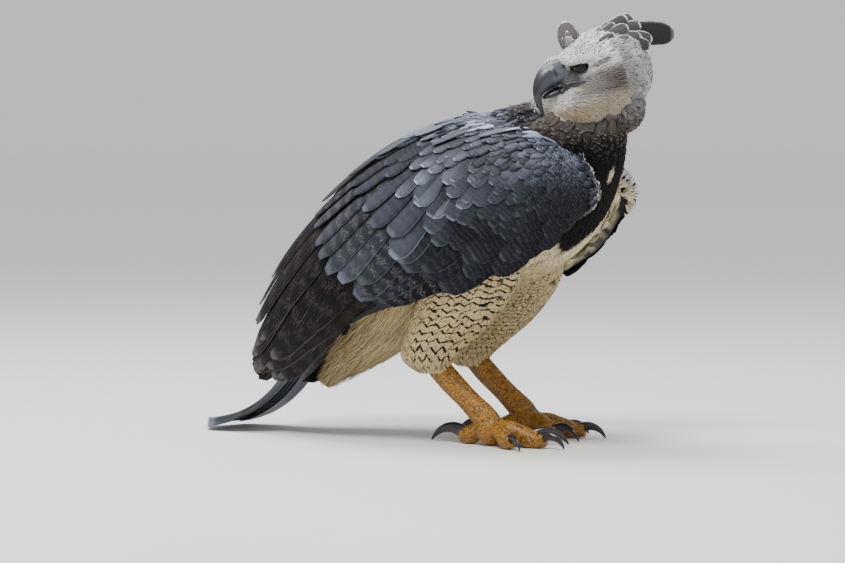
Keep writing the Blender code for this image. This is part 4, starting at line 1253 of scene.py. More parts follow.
def wing_turn(v, side, lean):
    """How far wing feathers lean down from the wing's length, at places down it."""
    fall = np.sin(math.pi * np.clip(v, 0.02, 1) ** 0.8)
    return -side * math.radians(lean) * fall * (1 - 0.75 * step(0.55, 0.92, v))


def wing_row(flock, side, along, slant, downs, length, width, chance, tint, lean, **looks):
    """One row of wing feathers that slants across the wing."""
    draw = Draws(chance, len(downs))
    u = along + slant * (0.5 - downs) + draw.even(-0.10, 0.10)
    lay(
        flock, WING_FACES[side], u, downs, length * draw.even(0.90, 1.10), width * draw.even(0.90, 1.10),
        tint, toward=1, turn=wing_turn(downs, side, lean) + draw.near(0.06), seed=draw.even(), **looks,
    )


def wing_tint(u, v, chance):
    """Colours of wing feathers rooted at places on the wing, with painted sheen and highlights, and how pale
    their rims are, which is partly painted highlight.
    """
    draw = Draws(chance, len(v))
    patch = np.sin(u * 2.3 + 4 * v) * np.sin(v * 9.0 - u) * 0.5 + 0.5
    # Painted highlight and sheen: a band across the middle of the wing, a patch over the shoulder and,
    # faintly, the upper part of the wing are lightened towards silver, as if lit from above; the band and the
    # patch also get paler rims.
    painted_highlight = np.exp(-(((v - 0.30) / 0.21) ** 2)) * step(0.9, 1.6, u) * step(3.6, 2.4, u)
    shoulder = np.exp(-(((v - 0.28) / 0.24) ** 2)) * step(-0.2, 0.3, u) * step(1.9, 1.0, u)
    brown = step(2.6, 4.0, u) * 0.6
    tint = mix(SLATE, WING_BROWN, brown)
    sheen = 0.14 * painted_highlight * patch + 0.24 * shoulder * (0.4 + 0.6 * patch)
    tint = mix(tint, SILVER_AND_SHEEN, (sheen + 0.02 * step(0.7, 0.4, v)) * draw.even(0.2, 1.8))
    # Painted sheen: the upper edge of the wing is lightened further towards silver.
    top = step(0.15, 0.02, v) * step(3.2, 2.2, u) * step(0.0, 0.5, u)
    tint = mix(tint, SILVER_AND_SHEEN, top * 0.60 * draw.even(0.2, 1))
    # The lower part of the wing is darker.
    tint = tint * (1 - 0.55 * step(0.42, 0.72, v))[:, None]
    rim = np.maximum(painted_highlight * (0.35 + 0.65 * patch), shoulder * patch * 0.45)
    return tint * draw.column(0.5, 1.6), rim


def make_flights(side, chance, materials):
    """The flight feathers of one wing: those stacked at its lower edge, and a row over them."""
    flock = Flock()
    for i in range(LOWER_FLIGHTS):
        inner = LOWER_FLIGHTS - 1 - i
        wing_row(
            flock, side, 3.80 + 0.05 * i, 0.0, np.array([0.90 - 0.07 * i]), 0.335 + 0.005 * inner, 0.036,
            chance, BLACK[None] * 1.3, 10.0, base=-0.0035 - 0.0012 * inner, depth=0.004, lift=0.002,
            bars=0.35, roll=-side * 0.05, patch=(0.010, 0.040), **FLIGHT_LOOKS,
        )
    downs = np.linspace(0.05, 0.86, UPPER_FLIGHTS)
    draw = Draws(chance, UPPER_FLIGHTS)
    start = 3.45 + 0.7 * (0.5 - downs)
    end = np.interp(downs, [0, 0.3, 0.6, 0.9], [6.8, 7.15, 7.10, 6.7]) + draw.even(-0.12, 0.12)
    length = (end - start) * np.interp(downs, [0, 0.5, 1], [0.086, 0.098, 0.085])
    tint = FLIGHT_BROWN * draw.column(0.7, 1.5)
    wing_row(
        flock, side, 3.45, 0.7, downs, length, 0.044, chance, tint, 15.0, base=-0.002, depth=0.005,
        lift=0.0035, bars=draw.even(0.3, 0.7), rim=0.6, roll=-side * 0.10, patch=(0.012, 0.04),
        **FLIGHT_LOOKS,
    )
    flock.build(f"flight_feathers_{SIDE_NAMES[side]}", materials["flight"], WING_NODES[side])


def make_great_coverts(flock, side, chance):
    """The long coverts over the flight feathers of one wing."""
    for along, length, count, lean, marked in GREAT_COVERTS:
        draw = Draws(chance, count)
        downs = np.linspace(0.06, 0.87, count) + draw.even(-0.012, 0.012)
        tint, painted_highlight = wing_tint(along + 2.0 * (0.5 - downs), downs, chance)
        wing_row(
            flock, side, along, 1.9, downs, length, 0.048, chance, tint * 0.9, lean, base=-0.001, depth=0.004,
            lift=0.003, bars=marked, rim=np.clip(0.07 + 0.36 * painted_highlight, 0, 1) * draw.even(0.3, 1.2),
            roll=-side * 0.10, **COVERT_LOOKS,
        )


def make_small_coverts(flock, side, chance):
    """Rows of coverts that grow smaller towards the wrist of one wing."""
    along, length, number = SMALL_START, SMALL_LENGTH, 0
    while along > SMALL_END:
        width = 0.0090 + 0.56 * (length - 0.012)
        slant = 1.9 * step(0.2, 1.6, along + 0.2)
        count = max(8, int(0.275 / (width * 0.62)))
        downs = np.linspace(0.02, 0.91, count) + (number % 2 - 0.5) * 0.45 / count
        downs = downs + chance.uniform(-0.25, 0.25, count) / count
        place = along + slant * (0.5 - downs)
        kept = (place > 0.04) & (downs > 0.0) & (downs < 1.0)
        downs, place = downs[kept], place[kept]
        if len(downs):
            draw = Draws(chance, len(downs))
            tint, painted_highlight = wing_tint(place, downs, chance)
            fine = step(0.045, 0.020, length)
            looks = {**COVERT_LOOKS, "rows": 7, "columns": 5} if length < 0.040 else COVERT_LOOKS
            wing_row(
                flock, side, along, slant, downs, length, width, chance, tint,
                40.0 - 12.0 * step(1.2, 0.2, along), depth=0.0030,
                lift=(0.0004 + length * 0.015) * draw.even(0.5, 1.5),
                rim=np.clip(0.06 + painted_highlight, 0, 1) * draw.even(0.25, 1.1) * (1 - 0.4 * fine),
                roll=-side * 0.035 + draw.near(0.035), bars=0.15, **looks,
            )
        along -= length * 0.30 / 0.085
        length = max(SMALL_LEAST, length * SMALL_SHRINK)
        number += 1


def make_wing(side, materials):
    """One wing: its flight feathers, its coverts, its scapulars, its core and its lining."""
    chance = np.random.default_rng(17)
    make_flights(side, chance, materials)
    flock = Flock()
    make_great_coverts(flock, side, chance)
    make_small_coverts(flock, side, chance)
    flock.build(f"coverts_{SIDE_NAMES[side]}", materials["covert"], WING_NODES[side])
    make_scapulars(side, chance, materials)
    make_wing_core(side)
    make_lining(side, chance, materials)


def make_scapulars(side, chance, materials):
    """The ruffled feathers that fall from the shoulder over the top of one wing, silvery with painted sheen.
    """
    flock = Flock()
    draw = Draws(chance, SHOULDER_TUFTS)
    along = 0.25 + 2.2 * draw.even() ** 1.1
    downs = np.clip(draw.even(-0.03, 0.21) * (1 - 0.25 * along), 0.0, 0.2)
    downs = downs + (LEFT_TUFT_DROP if side > 0 else 0.0)
    # Painted sheen: tufts over the middle of the shoulder are lightened towards silver, some more than
    # others, and their rims are paled with it.
    shoulder_sheen = draw.even() ** 1.1 * step(0.1, 0.6, along) * step(2.4, 1.6, along)
    order = np.argsort(-along)
    along, downs, shoulder_sheen = along[order], downs[order], shoulder_sheen[order]
    lay(
        flock, WING_FACES[side], along, downs, draw.even(0.022, 0.042), draw.even(0.007, 0.012),
        mix(SLATE * 1.3, SILVER_AND_SHEEN * 2.7, shoulder_sheen * 0.9), toward=1, turn=-side * draw.near(0.30, 0.25), rows=6,
        columns=5, depth=0.001, lift=draw.even(0.0016, 0.0044) * step(-0.10, 0.08, downs),
        curl=draw.column(-0.002, 0.0), camber=0.18, roll=draw.near(0.13) * step(-0.05, 0.08, downs),
        rim=shoulder_sheen, seed=draw.even(), thickness=0.0004, base=0.0012,
    )
    # Painted sheen: each long scapular is lightened towards silver by its share, which also pales its rim.
    for place, down, length, width, share in SCAPULARS:
        spot = np.array([place]), np.array([down + (LEFT_SCAPULAR_DROP if side > 0 else 0.0)])
        lay(
            flock, WING_FACES[side], *spot, length, width, mix(SCAPULAR_DARK, SILVER_AND_SHEEN, share)[None], toward=1,
            turn=-side * (0.10 + 1.6 * down), rows=14, columns=7, kind="paddle", depth=0.0005, lift=0.0024,
            base=0.0010, roll=-side * 0.10, rim=0.35 * share, seed=chance.uniform(0, 1, 1),
            thickness=0.0006, shaft=0.6,
        )
    flock.build(f"scapulars_{SIDE_NAMES[side]}", materials["covert"], WING_NODES[side])


def lining_surface(side):
    """The inner face of one folded wing."""

    def at(u, v):
        place, down = u + 0 * v, v + 0 * u
        point, normal, _, _ = WING_FACES[side].frame(place, down)
        return point - normal * (LINING_DEPTH + wing_thickness(place, down)[..., None] * 0.97)

    return Surface(at, side, (0, 0), (7, 1))


def make_lining(side, chance, materials):
    """The cream and black feathers under one folded wing."""
    flock = Flock()
    surface = lining_surface(side)
    u, v, draw = scatter(surface, 0.0072, chance, (0.02, 0.02), (5.0, 0.97))
    tint = lining_tint(u, v, surface.at(u, v)) * draw.column(0.92, 1.08)
    lay(
        flock, surface, u, v, draw.even(0.020, 0.028), draw.even(0.010, 0.0135), tint, toward=1,
        turn=draw.near(0.15), depth=0.0015, lift=0.0018, seed=draw.even(), thickness=0.0003,
    )
    flock.build(f"wing_lining_{SIDE_NAMES[side]}", materials["down"], WING_NODES[side])


def lining_tint(u, v, points):
    """Colours of the feathers under a folded wing: cream with black marks, and dark along its edges."""
    blotch = step(0.42, 0.60, ripple(points, 0.0085, 4.0)) * step(0.78, 0.90, v)
    dark = step(0.95, 0.99, v + 0.03 * ripple(points, 0.012, 2.0)) + step(0.34, 0.16, v) * step(1.2, 2.0, u)
    return mix(CREAM * 0.92, BLACK * 1.2, np.clip(blotch * 0.95 + dark, 0, 1))


def grid_places(rows, count):
    """The places of a grid of points on its own unwrap."""
    across, along = np.meshgrid(np.linspace(0.01, 0.99, count), np.linspace(0.02, 0.98, rows))
    return np.stack([across, along], axis=-1).reshape(-1, 2)


def make_wing_core(side):
    """The dark body of one wing under its feathers."""
    u, v = np.meshgrid(np.linspace(0, 5.0, 41), np.linspace(0, 0.96, 19), indexing="ij")
    point, normal, _, _ = WING_FACES[side].frame(u, v)
    outer = point - normal * CORE_DEPTH
    inner = outer - normal * (wing_thickness(u, v)[..., None] * 0.96)
    rings = np.concatenate([outer, inner[:, ::-1]], axis=1)
    if side > 0:
        rings = rings[:, ::-1]
    points, quads, triangles = loft_arrays(rings)
    rows, count, _ = rings.shape
    inside = np.arange(count) >= count // 2
    if side > 0:
        inside = ~inside
    inside = np.append(np.tile(inside, rows), [False, False]).astype(float)
    down = np.append(np.tile(np.concatenate([v[0], v[0][::-1]]), rows), [0.5, 0.5])
    along = np.append(np.repeat(u[:, 0], count), [0.5, 0.5])
    tint = mix(SLATE * 0.8 + 0 * points, lining_tint(along, down, points), inside)
    values = {"tint": tint, "place": np.vstack([grid_places(rows, count), POLES])}
    material = skin_material("wing_skin_" + SIDE_NAMES[side])
    piece = mesh_piece(f"wing_core_{SIDE_NAMES[side]}", points, quads, triangles, values, material)
    settle(piece, WING_NODES[side])


def make_tail_feathers(chance, material):
    """The tail feathers, stacked in pairs with the middle pair on top."""
    flock = Flock()
    rows = 26
    t = np.linspace(0, 1, rows)
    for pair in range(TAIL_PAIRS):
        for side in (RIGHT, LEFT):
            layer = (pair * 2 + (side > 0)) * TAIL_LAYER
            start, end = 0.047, TAIL_LENGTH - 0.004 * pair - 0.003 * (side > 0)
            u = (start + (end - start) * t)[None]
            v = side * ((0.004 + 0.0042 * pair) * (1 - t) + (0.004 + 0.0082 * pair) * t)[None]
            point, normal, _, _ = TAIL_SHEET.frame(u, v)
            half = 0.021 * shape_of("flight", rows)[None]
            tint = mix(BLACK, SILVER_AND_SHEEN * 0.5, 0.25 + 0.08 * pair)[None]
            place = np.array([[0.5 + side * (0.04 + 0.075 * pair), 0.5]])
            flock.add(
                point + normal * (0.0035 - layer), normal, half, 9, 0.0007, tint, place, camber=0.05,
                roll=side * 0.04, shaft=1.2, fray=0.06, seed=chance.uniform(0, 1, 1), bars=1.0, rim=0.5,
                patch=(0.034, 0.48),
            )
    flock.build("tail_feathers", material, ("tail",))


def make_tail_coverts(chance, material):
    """The coverts over and under the root of the tail."""
    flock = Flock()
    rows = 9
    half = 0.013 * shape_of("scale", rows)[None]
    for row, (start, length, lift) in enumerate(TAIL_COVERTS):
        for v in np.linspace(-0.034, 0.034, 7):
            u = start + length * np.linspace(0, 1, rows)[None] + chance.uniform(-0.006, 0.006)
            point, normal, _, _ = TAIL_SHEET.frame(u, v * (1 - 0.2 * row) + 0 * u)
            height = 0.003 + lift * np.linspace(0.3, 1, rows) - 0.35 * abs(v)
            for sign, colour in ((1, SLATE * 1.3), (-1, CREAM * 0.85)):
                sunk = 0.006 if sign < 0 else 0
                spine = point + normal * (sign * height)[None, :, None] - normal * sunk
                tint = colour[None] * chance.uniform(0.8, 1.2)
                place = np.array([[0.5 + v * 12, 0.1 + 0.25 * row + 0.02 * sign]])
                flock.add(
                    spine, normal * sign, half, 5, 0.0005, tint, place,
                    seed=chance.uniform(0, 1, 1), bars=0.3, rim=0.3,
                )
    flock.build("tail_coverts", material, ("tail",))


def make_tail(materials):
    """The tail and the coverts over its root."""
    chance = np.random.default_rng(23)
    make_tail_feathers(chance, materials["tail"])
    make_tail_coverts(chance, materials["tail"])


# Which way the broad side of a crest feather faces: forward, left, up.
FACINGS = {"left": (6, 28, 12), "right": (0, -22, 22), "front": (18, 28, 4), "long": (6, 30, 5)}

# Crest feathers: root forward, left, up; then tip forward, left, up; then width, all in mm, and the facing.
CREST = [
    ((-34, 9, 52), (-120, 16, 19), 38, "long"),
    ((-26, 3, 57), (-82, 4, 48), 22, "left"),
    ((-24, 16, 54), (-68, 24, 50), 22, "left"),
    ((-18, 6, 57), (-70, 8, 62), 23, "left"),
    ((-10, 12, 56), (-54, 18, 66), 22, "left"),
    ((-34, 27, 46), (-72, 36, 28), 22, "left"),
    ((-26, 35, 41), (-60, 46, 22), 21, "left"),
    ((-16, 30, 47), (-54, 40, 38), 21, "left"),
    ((-6, 25, 52), (-42, 34, 56), 22, "left"),
    ((-34, -20, 49), (-88, -28, 34), 25, "right"),
    ((-14, -24, 51), (-52, -34, 58), 22, "right"),
    ((-28, -10, 55), (-84, -14, 44), 26, "right"),
    ((27, -13, 42), (22, -18, 88), 34, "front"),
    ((19, -18, 44), (13, -24, 78), 28, "front"),
]


def add_crest_feather(flock, root, tip, width, facing, tint, **looks):
    """One bowed crest feather between two points of the head's frame, its broad side towards the facing."""
    run = unit(tip - root)
    outward = np.array(FACINGS[facing], float)
    normal = unit(outward - run * outward.dot(run))
    length = np.linalg.norm(tip - root)
    rows = 15
    t = np.linspace(0, 1, rows)[:, None]
    spine = root + (tip - root) * t + normal * (length * 0.06 * np.sin(math.pi * t))
    slope = unit(run + normal * (0.06 * math.pi * np.cos(math.pi * t)))
    face = unit(np.cross(slope, np.cross(normal, run)))
    half = width * 0.45 * MM * shape_of("leaf" if facing == "front" else "paddle", rows)[None]
    place = np.array([[0.5 + root[1] / 90, 0.5 + root[0] / 90]])
    flock.add(
        head_point(spine)[None], (face @ HEAD_AXES.T)[None], half, 7, 0.0005, tint[None], place,
        camber=0.08, shaft=1.5, fray=0.05, patch=(0.012, 0.02), **looks,
    )


def make_crest(materials):
    """The crest: the solids' feathers, each with smaller ones over its root."""
    chance = np.random.default_rng(31)
    flock = Flock()
    for root, tip, width, facing in CREST:
        root, tip = np.array(root, float), np.array(tip, float)
        long_one, upright = facing == "long", facing == "front"
        gain = 1.9 if upright else 1.0
        tint = CREST_LONG if long_one else CREST_DARK * chance.uniform(0.7, 1.5)
        rim, seed = 0.2 if long_one else 1.0, chance.uniform(0, 1, 1)
        add_crest_feather(flock, root, tip, width, facing, tint * gain, rim=rim, seed=seed)
        for _ in range(3 if long_one else 12):
            spread = np.array([chance.uniform(2, 12), chance.uniform(-7, 7), chance.uniform(-2.5, 0.5)])
            if upright:
                spread = np.array([chance.uniform(-6, 8), chance.uniform(-7, 9), -2.0])
            start = root + spread
            end = start + (tip - root) * chance.uniform(0.30, 0.70) + chance.normal(0, 2.2, 3)
            tint = CREST_SMALL * chance.uniform(0.6, 1.6) * gain
            seed = chance.uniform(0, 1, 1)
            breadth = min(width, 24) * chance.uniform(0.38, 0.66)
            side_on = "left" if long_one else facing
            add_crest_feather(flock, start, end, breadth, side_on, tint, rim=1.0, seed=seed)
    flock.build("crest", materials["crest"], ("head",))


# The left eye's gaze in the head's frame, and half the opening of its lids, in mm.
EYE_AXIS = np.array([0.44, 0.895, 0.03])
EYE_OPENING = (11.4, 6.8)
# Lids: scale of the opening and distance from the eye's middle in mm, from the edge outward.
LID_SCALES = [0.985, 1.0, 1.025, 1.06, 1.12, 1.2, 1.32, 1.5, 1.72]
LID_RADII = [12.2, 13.5, 14.0, 14.15, 13.95, 14.1, 13.9, 13.6, 12.8]
EYE_COLOURS = {"pupil": (0.002, 0.002, 0.002), "iris": (0.018, 0.0075, 0.004), "white": (0.008, 0.006, 0.005)}


def eye_axes(side):
    """The gaze, the way forward and the way up of one eye, in the head's frame."""
    gaze = unit(on_side(EYE_AXIS, side))
    upward = unit(UP - gaze * gaze[2])
    return gaze, unit(np.cross(upward, gaze)) * side, upward


def grid_piece(name, grid, values, material):
    """A smooth piece from a grid of points that closes round and at both ends."""
    points, quads, triangles = loft_arrays(grid)
    rows, count, _ = grid.shape
    full = {"place": np.vstack([grid_places(rows, count), POLES])}
    for key, value in values.items():
        flat = value.reshape(rows * count, *value.shape[2:])
        ends = np.stack([value[0].mean(axis=0), value[-1].mean(axis=0)])
        full[key] = np.concatenate([flat, ends])
    return mesh_piece(name, points, quads, triangles, full, material)


def make_eye(side, shade_eye):
    """One eyeball with its iris, pupil and the swell of its cornea."""
    gaze, ahead, upward = eye_axes(side)
    rows, count = 64, 96
    theta = np.linspace(0.01, math.pi - 0.01, rows)[:, None]
    phi = (np.arange(count) * TAU / count)[None]
    swell = EYE_RADIUS * (0.985 + 0.055 * np.exp(-((theta / 0.50) ** 2)))
    along = (np.cos(theta) * swell + 0 * phi)[..., None] * gaze
    beside = (np.sin(theta) * swell * np.cos(phi))[..., None] * ahead
    above = (np.sin(theta) * swell * np.sin(phi))[..., None] * upward
    grid = head_point(on_side(EYE, side) + along + beside + above)
    chance = np.random.default_rng(41)
    fibre = chance.uniform(0.6, 1.5, count)[None] * (0.8 + 0.4 * np.sin(theta * 30))
    iris = np.array(EYE_COLOURS["iris"]) * fibre[..., None] * (0.6 + 0.9 * step(0.42, 0.75, theta))[..., None]
    tint = mix(np.array(EYE_COLOURS["pupil"]) + 0 * iris, iris, step(0.37, 0.41, theta) + 0 * phi)
    tint = mix(tint, np.array(EYE_COLOURS["white"]), step(0.80, 0.88, theta) + 0 * phi)
    if side > 0:
        grid, tint = grid[:, ::-1], tint[:, ::-1]
    piece = grid_piece(f"eye_ball_{SIDE_NAMES[side]}", grid, {"tint": tint}, shade_eye)
    settle(piece, ("eye_" + SIDE_NAMES[side],))


def make_lids(side, material):
    """The dark lids round one eye, from the edge of their opening out under the feathers."""
    gaze, ahead, upward = eye_axes(side)
    phi = (np.arange(80) * TAU / 80)[None]
    scales, radii = np.array(LID_SCALES)[:, None], np.array(LID_RADII)[:, None]
    corner = 1 - 0.30 * np.abs(np.cos(phi)) ** 4
    reach_up = np.where(np.sin(phi) > 0, EYE_OPENING[1] * 0.84, EYE_OPENING[1])
    forward = EYE_OPENING[0] * np.cos(phi) * (1 + (scales - 1) * 0.5)
    high = reach_up * np.sin(phi) * corner * scales - 1.1 * np.cos(phi)
    deep = np.sqrt(np.maximum(radii**2 - forward**2 - high**2, 0.5))
    fold = 0.25 * np.sin(scales * 42) * step(1.05, 1.15, scales)
    grid = (deep + fold)[..., None] * gaze + forward[..., None] * ahead + high[..., None] * upward
    grid = np.concatenate([grid, grid[::-1] - gaze * 2.2])
    grid = head_point(on_side(EYE, side) + grid)
    rim = np.concatenate([step(1.45, 1.15, scales), 0 * scales]) + 0 * phi
    tint = mix(LID_SKIN, LID_RIM, rim)
    rows, count, _ = grid.shape
    row, spot = np.meshgrid(np.arange(rows), np.arange(count), indexing="ij")
    here, above, after = row * count, (row + 1) % rows * count, (spot + 1) % count
    quads = np.stack([here + spot, here + after, above + after, above + spot], axis=-1).reshape(-1, 4)
    if side < 0:
        quads = quads[:, ::-1]
    values = {"tint": tint.reshape(-1, 3), "place": grid_places(rows, count)}
    no_triangles = np.zeros((0, 3), int)
    piece = mesh_piece(f"lids_{SIDE_NAMES[side]}", grid.reshape(-1, 3), quads, no_triangles, values, material)
    settle(piece, ("head",))


# Sections of the bill in mm in the head's frame, from its root: the ridge forward and up, the edge forward
# and up, and the half width.
UPPER_BILL = [
    (52.0, 44.5, 50.0, 12.5, 19.0),
    (66.5, 46.0, 64.0, 12.5, 17.5),
    (82.0, 44.5, 77.0, 12.5, 14.5),
    (95.0, 38.0, 87.0, 11.5, 11.5),
    (105.0, 27.0, 95.0, 9.5, 9.0),
    (110.5, 14.0, 100.5, 6.0, 6.5),
    (111.5, 0.0, 102.5, -3.0, 4.2),
    (109.0, -12.0, 103.0, -13.0, 2.2),
    (105.5, -22.0, 103.6, -22.5, 0.7),
]
LOWER_BILL = [
    (44.0, 12.0, 42.0, -4.0, 18.0),
    (60.0, 11.5, 60.0, -0.5, 16.0),
    (76.0, 11.0, 77.0, 0.0, 12.5),
    (88.0, 9.5, 89.0, 0.5, 9.0),
    (97.0, 6.5, 97.5, 1.5, 4.0),
]
NOSTRIL = np.array([76.5, 15.0, 31.0])
CERE, BILL_BLUE = np.array([0.050, 0.062, 0.080]), np.array([0.020, 0.027, 0.038])
HOOK = np.array([0.007, 0.007, 0.008])


def bill_grid(sections, rows, count):
    """Rings of one half of the bill in the head's frame, with their places along and round."""
    u = np.linspace(0, len(sections) - 1, rows)
    ridge_forward, ridge_up, edge_forward, edge_up, width = np.moveaxis(smooth(sections, u), -1, 0)
    phi = np.arange(count) * TAU / count
    rise, run = np.sin(phi)[None], np.cos(phi)[None]
    pinch = 1 - 0.20 * np.clip(rise, 0, 1) ** 2 + 0.06 * np.clip(-rise, 0, 1)
    middle = np.stack([(ridge_forward + edge_forward) / 2, 0 * u, (ridge_up + edge_up) / 2], axis=-1)
    upward = np.stack([(ridge_forward - edge_forward) / 2, 0 * u, (ridge_up - edge_up) / 2], axis=-1)
    grid = middle[:, None] + upward[:, None] * rise[..., None]
    grid[..., 1] += width[:, None] * run * pinch
    return grid, u[:, None] + 0 * run, rise + 0 * u[:, None]


def bill_material():
    """Horn with fine growth lines and worn patches."""
    shade = Shade("bill_horn", 0.36, Coat_Weight=0.18, Coat_Roughness=0.22)
    tint = shade.attribute("tint", "Color")
    wear = shade.ramp(shade.noise(90.0, 6.0), 0.52, 0.70)
    grain = shade.noise(260.0, 4.0, (0.35, 0.35, 1.0))
    pale = shade.mix(0.5, tint, (0.14, 0.15, 0.165))
    colour = shade.mix(shade.times(wear, 0.28), tint, pale)
    return shade.finish(colour, shade.math("ADD", grain, shade.times(wear, 0.5)), 0.22, 0.0006)


def make_bill(material):
    """The upper bill with its cere and nostrils, and the lower bill."""
    grid, u, rise = bill_grid(UPPER_BILL, 90, 48)
    forward, left, up = np.moveaxis(grid, -1, 0)
    cere = step(82.0, 79.5, forward + 0.14 * (up - 20) + 1.5 * np.sin(up * 0.16))
    outward = np.stack([0 * left, np.sign(left) * np.abs(np.cos(rise)), np.clip(rise, 0, 1)], axis=-1)
    grid = grid + outward * (cere * 0.9)[..., None]
    nostril_shade = np.zeros_like(left)
    for side in (RIGHT, LEFT):
        place = on_side(NOSTRIL, side)
        lean = up - place[2] - 0.6 * (forward - place[0])
        here = np.sign(left) == side
        dent = np.exp(-(((forward - place[0]) / 1.9) ** 2) - (lean / 3.6) ** 2) * here
        ring = np.sqrt(((forward - place[0]) / 3.4) ** 2 + ((up - place[2]) / 5.6) ** 2)
        rim = np.exp(-((ring - 1) ** 2) / 0.05) * here
        grid[..., 1] -= side * (dent * 3.4 - rim * 0.45)
        nostril_shade = np.maximum(nostril_shade, dent)
    edge_groove = np.exp(-(((rise + 0.72) / 0.10) ** 2)) * step(1.0, 2.0, u)
    grid[..., 1] -= np.sign(left) * edge_groove * 0.5
    tint = mix(BILL_BLUE, HOOK, step(3.1, 5.2, u + 0.35 * rise))
    tint = mix(tint, HOOK * 1.3, step(-0.60, -0.95, rise) * 0.8)
    tint = mix(tint, CERE, cere * 0.95)
    # Painted shade: the nostrils' dents are darkened to stand for the shade inside the openings.
    tint = mix(tint, HOOK * 0.5, np.clip(nostril_shade * 1.6, 0, 1))
    piece = grid_piece("bill_horn_upper", head_point(grid)[:, ::-1], {"tint": tint[:, ::-1]}, material)
    settle(piece, ("bill_upper",))
    grid, u, rise = bill_grid(LOWER_BILL, 50, 40)
    tint = mix(CERE * 0.45, HOOK * 1.5, step(0.6, 2.4, u))
    piece = grid_piece("bill_horn_lower", head_point(grid)[:, ::-1], {"tint": tint[:, ::-1]}, material)
    settle(piece, ("bill_lower",))


# Lips of the gape: name, height at the corner and at the bill, first and last place forward, thickness at
# both, all in mm, and colour.
LIPS = [
    ("upper", 9.6, 13.0, 46.0, 79.0, 0.9, 2.2, (0.022, 0.023, 0.026)),
    ("lower", 7.6, 5.4, 46.5, 78.0, 0.9, 3.4, (0.016, 0.016, 0.018)),
    ("fold", 3.4, -1.6, 49.0, 75.0, 0.9, 1.9, (0.42, 0.27, 0.10)),
]


def skull_side(forward, up):
    """How far out the head's surface lies at places seen from its side, in mm."""
    place = np.interp(forward, [row[0] for row in SKULL], np.arange(len(SKULL)))
    row = smooth(SKULL, place)
    return row[..., 3] * np.sqrt(np.maximum(1 - ((up - row[..., 1]) / row[..., 2]) ** 2, 0.02))


def tube_grid(path, radii, count=14, width=1.0, keel=0.0):
    """Rings round a path of points, scaled in width and drawn in below towards a keel."""
    run = unit(np.gradient(path, axis=0))
    across = unit(np.cross(run, UP))
    upward = np.cross(across, run)
    phi = np.arange(count) * TAU / count
    out = np.cos(phi) * (width * (1 - keel * np.clip(-np.sin(phi), 0, 1)))
    ring = across[:, None] * out[None, :, None] + upward[:, None] * np.sin(phi)[None, :, None]
    return path[:, None] + ring * radii[:, None, None]


def make_gape(side, material):
    """The lips of one side of the gape, from its corner to the bill: two dark edges over a pale fold."""
    for word, corner, end, back, front, thin, thick, colour in LIPS:
        t = np.linspace(0, 1, 44)
        forward = back + (front - back) * t
        up = corner + (end - corner) * step(0.0, 0.9, t) + 0.25 * np.sin(t * 19) * step(0.1, 0.4, t)
        out = np.maximum(skull_side(forward, up), 14.5) + (2.6 if word == "fold" else 0.4)
        path = np.stack([forward, out * side, up], axis=-1)
        radii = (thin + (thick - thin) * step(0.0, 0.8, t)) * (1 - 0.3 * step(0.9, 1.0, t))
        grid = tube_grid(path, radii)
        shade = np.array(colour)
        tint = np.broadcast_to(mix(shade * 0.7, shade, step(0.1, 0.6, t))[:, None], (*grid.shape[:2], 3))
        piece = grid_piece(f"gape_{word}_{SIDE_NAMES[side]}", head_point(grid), {"tint": tint}, material)
        settle(piece, ("head",))


def ellipsoid_rings(centre, radii, rows, count):
    """Rings of an ellipsoid, from its rear end to its front."""
    theta = np.linspace(0.12, math.pi - 0.12, rows)[:, None]
    phi = (np.arange(count) * TAU / count)[None]
    out = np.sin(theta)
    local = np.stack([-np.cos(theta) + 0 * phi, out * np.cos(phi), out * np.sin(phi)], axis=-1)
    return centre + local * radii


def brow_surface(side):
    """The brow over one eye, as a surface for its feathers."""
    inward = turn_about("Z", math.radians(-24.0 * side))
    raised = turn_about("Y", math.radians(-10.0))
    centre = head_point((EYE[0] + 1.0, (EYE[1] + 3.5) * side, EYE[2] + 9.8))
    return ellipsoid_surface(centre, np.array([0.0245, 0.0098, 0.0058]), HEAD_AXES @ inward @ raised)


def make_brows(materials):
    """The pale overhanging feathers of the brows."""
    chance = np.random.default_rng(53)
    flock = Flock()
    for side in (RIGHT, LEFT):
        surface = brow_surface(side)
        u, v, draw = scatter(surface, 0.0017, chance)
        pale = mix(PALE * 1.12, PALE * 0.60, draw.even() ** 3)
        lay(
            flock, surface, u, v, draw.even(0.006, 0.011), draw.even(0.0018, 0.0030), pale,
            turn=draw.near(0.24), rows=5, depth=0.0008, lift=0.0016, camber=0.2, roll=draw.near(0.12),
            rim=0.6, bars=0.4, seed=draw.even(), thickness=DOWN_THICKNESS,
        )
    flock.build("brows", materials["head"], ("head",))


def toe_path(side, name):
    """The middle line of one toe and its radii."""
    angle, length, radius, _, _ = TOES[name]
    angle = math.radians(angle) * side
    places, swells = [0.0, 0.28, 0.56, 0.84, 1.06], [1.05, 0.92, 1.0, 0.90, 0.70]
    heights = [0.024, 0.0235, 0.0185, radius * 0.90 - 0.0006, 0.0118]
    rows = np.stack([places, heights, swells], axis=-1)
    place, height, swell = np.moveaxis(smooth(rows, np.linspace(0, 4, LEG_ROWS)), -1, 0)
    ahead = np.array([math.cos(angle), math.sin(angle), 0.0])
    path = np.array([FOOT_X, side * FOOT_Y, 0.0]) + ahead * (length * place)[:, None]
    path[:, 2] = height
    return path, radius * swell, ahead


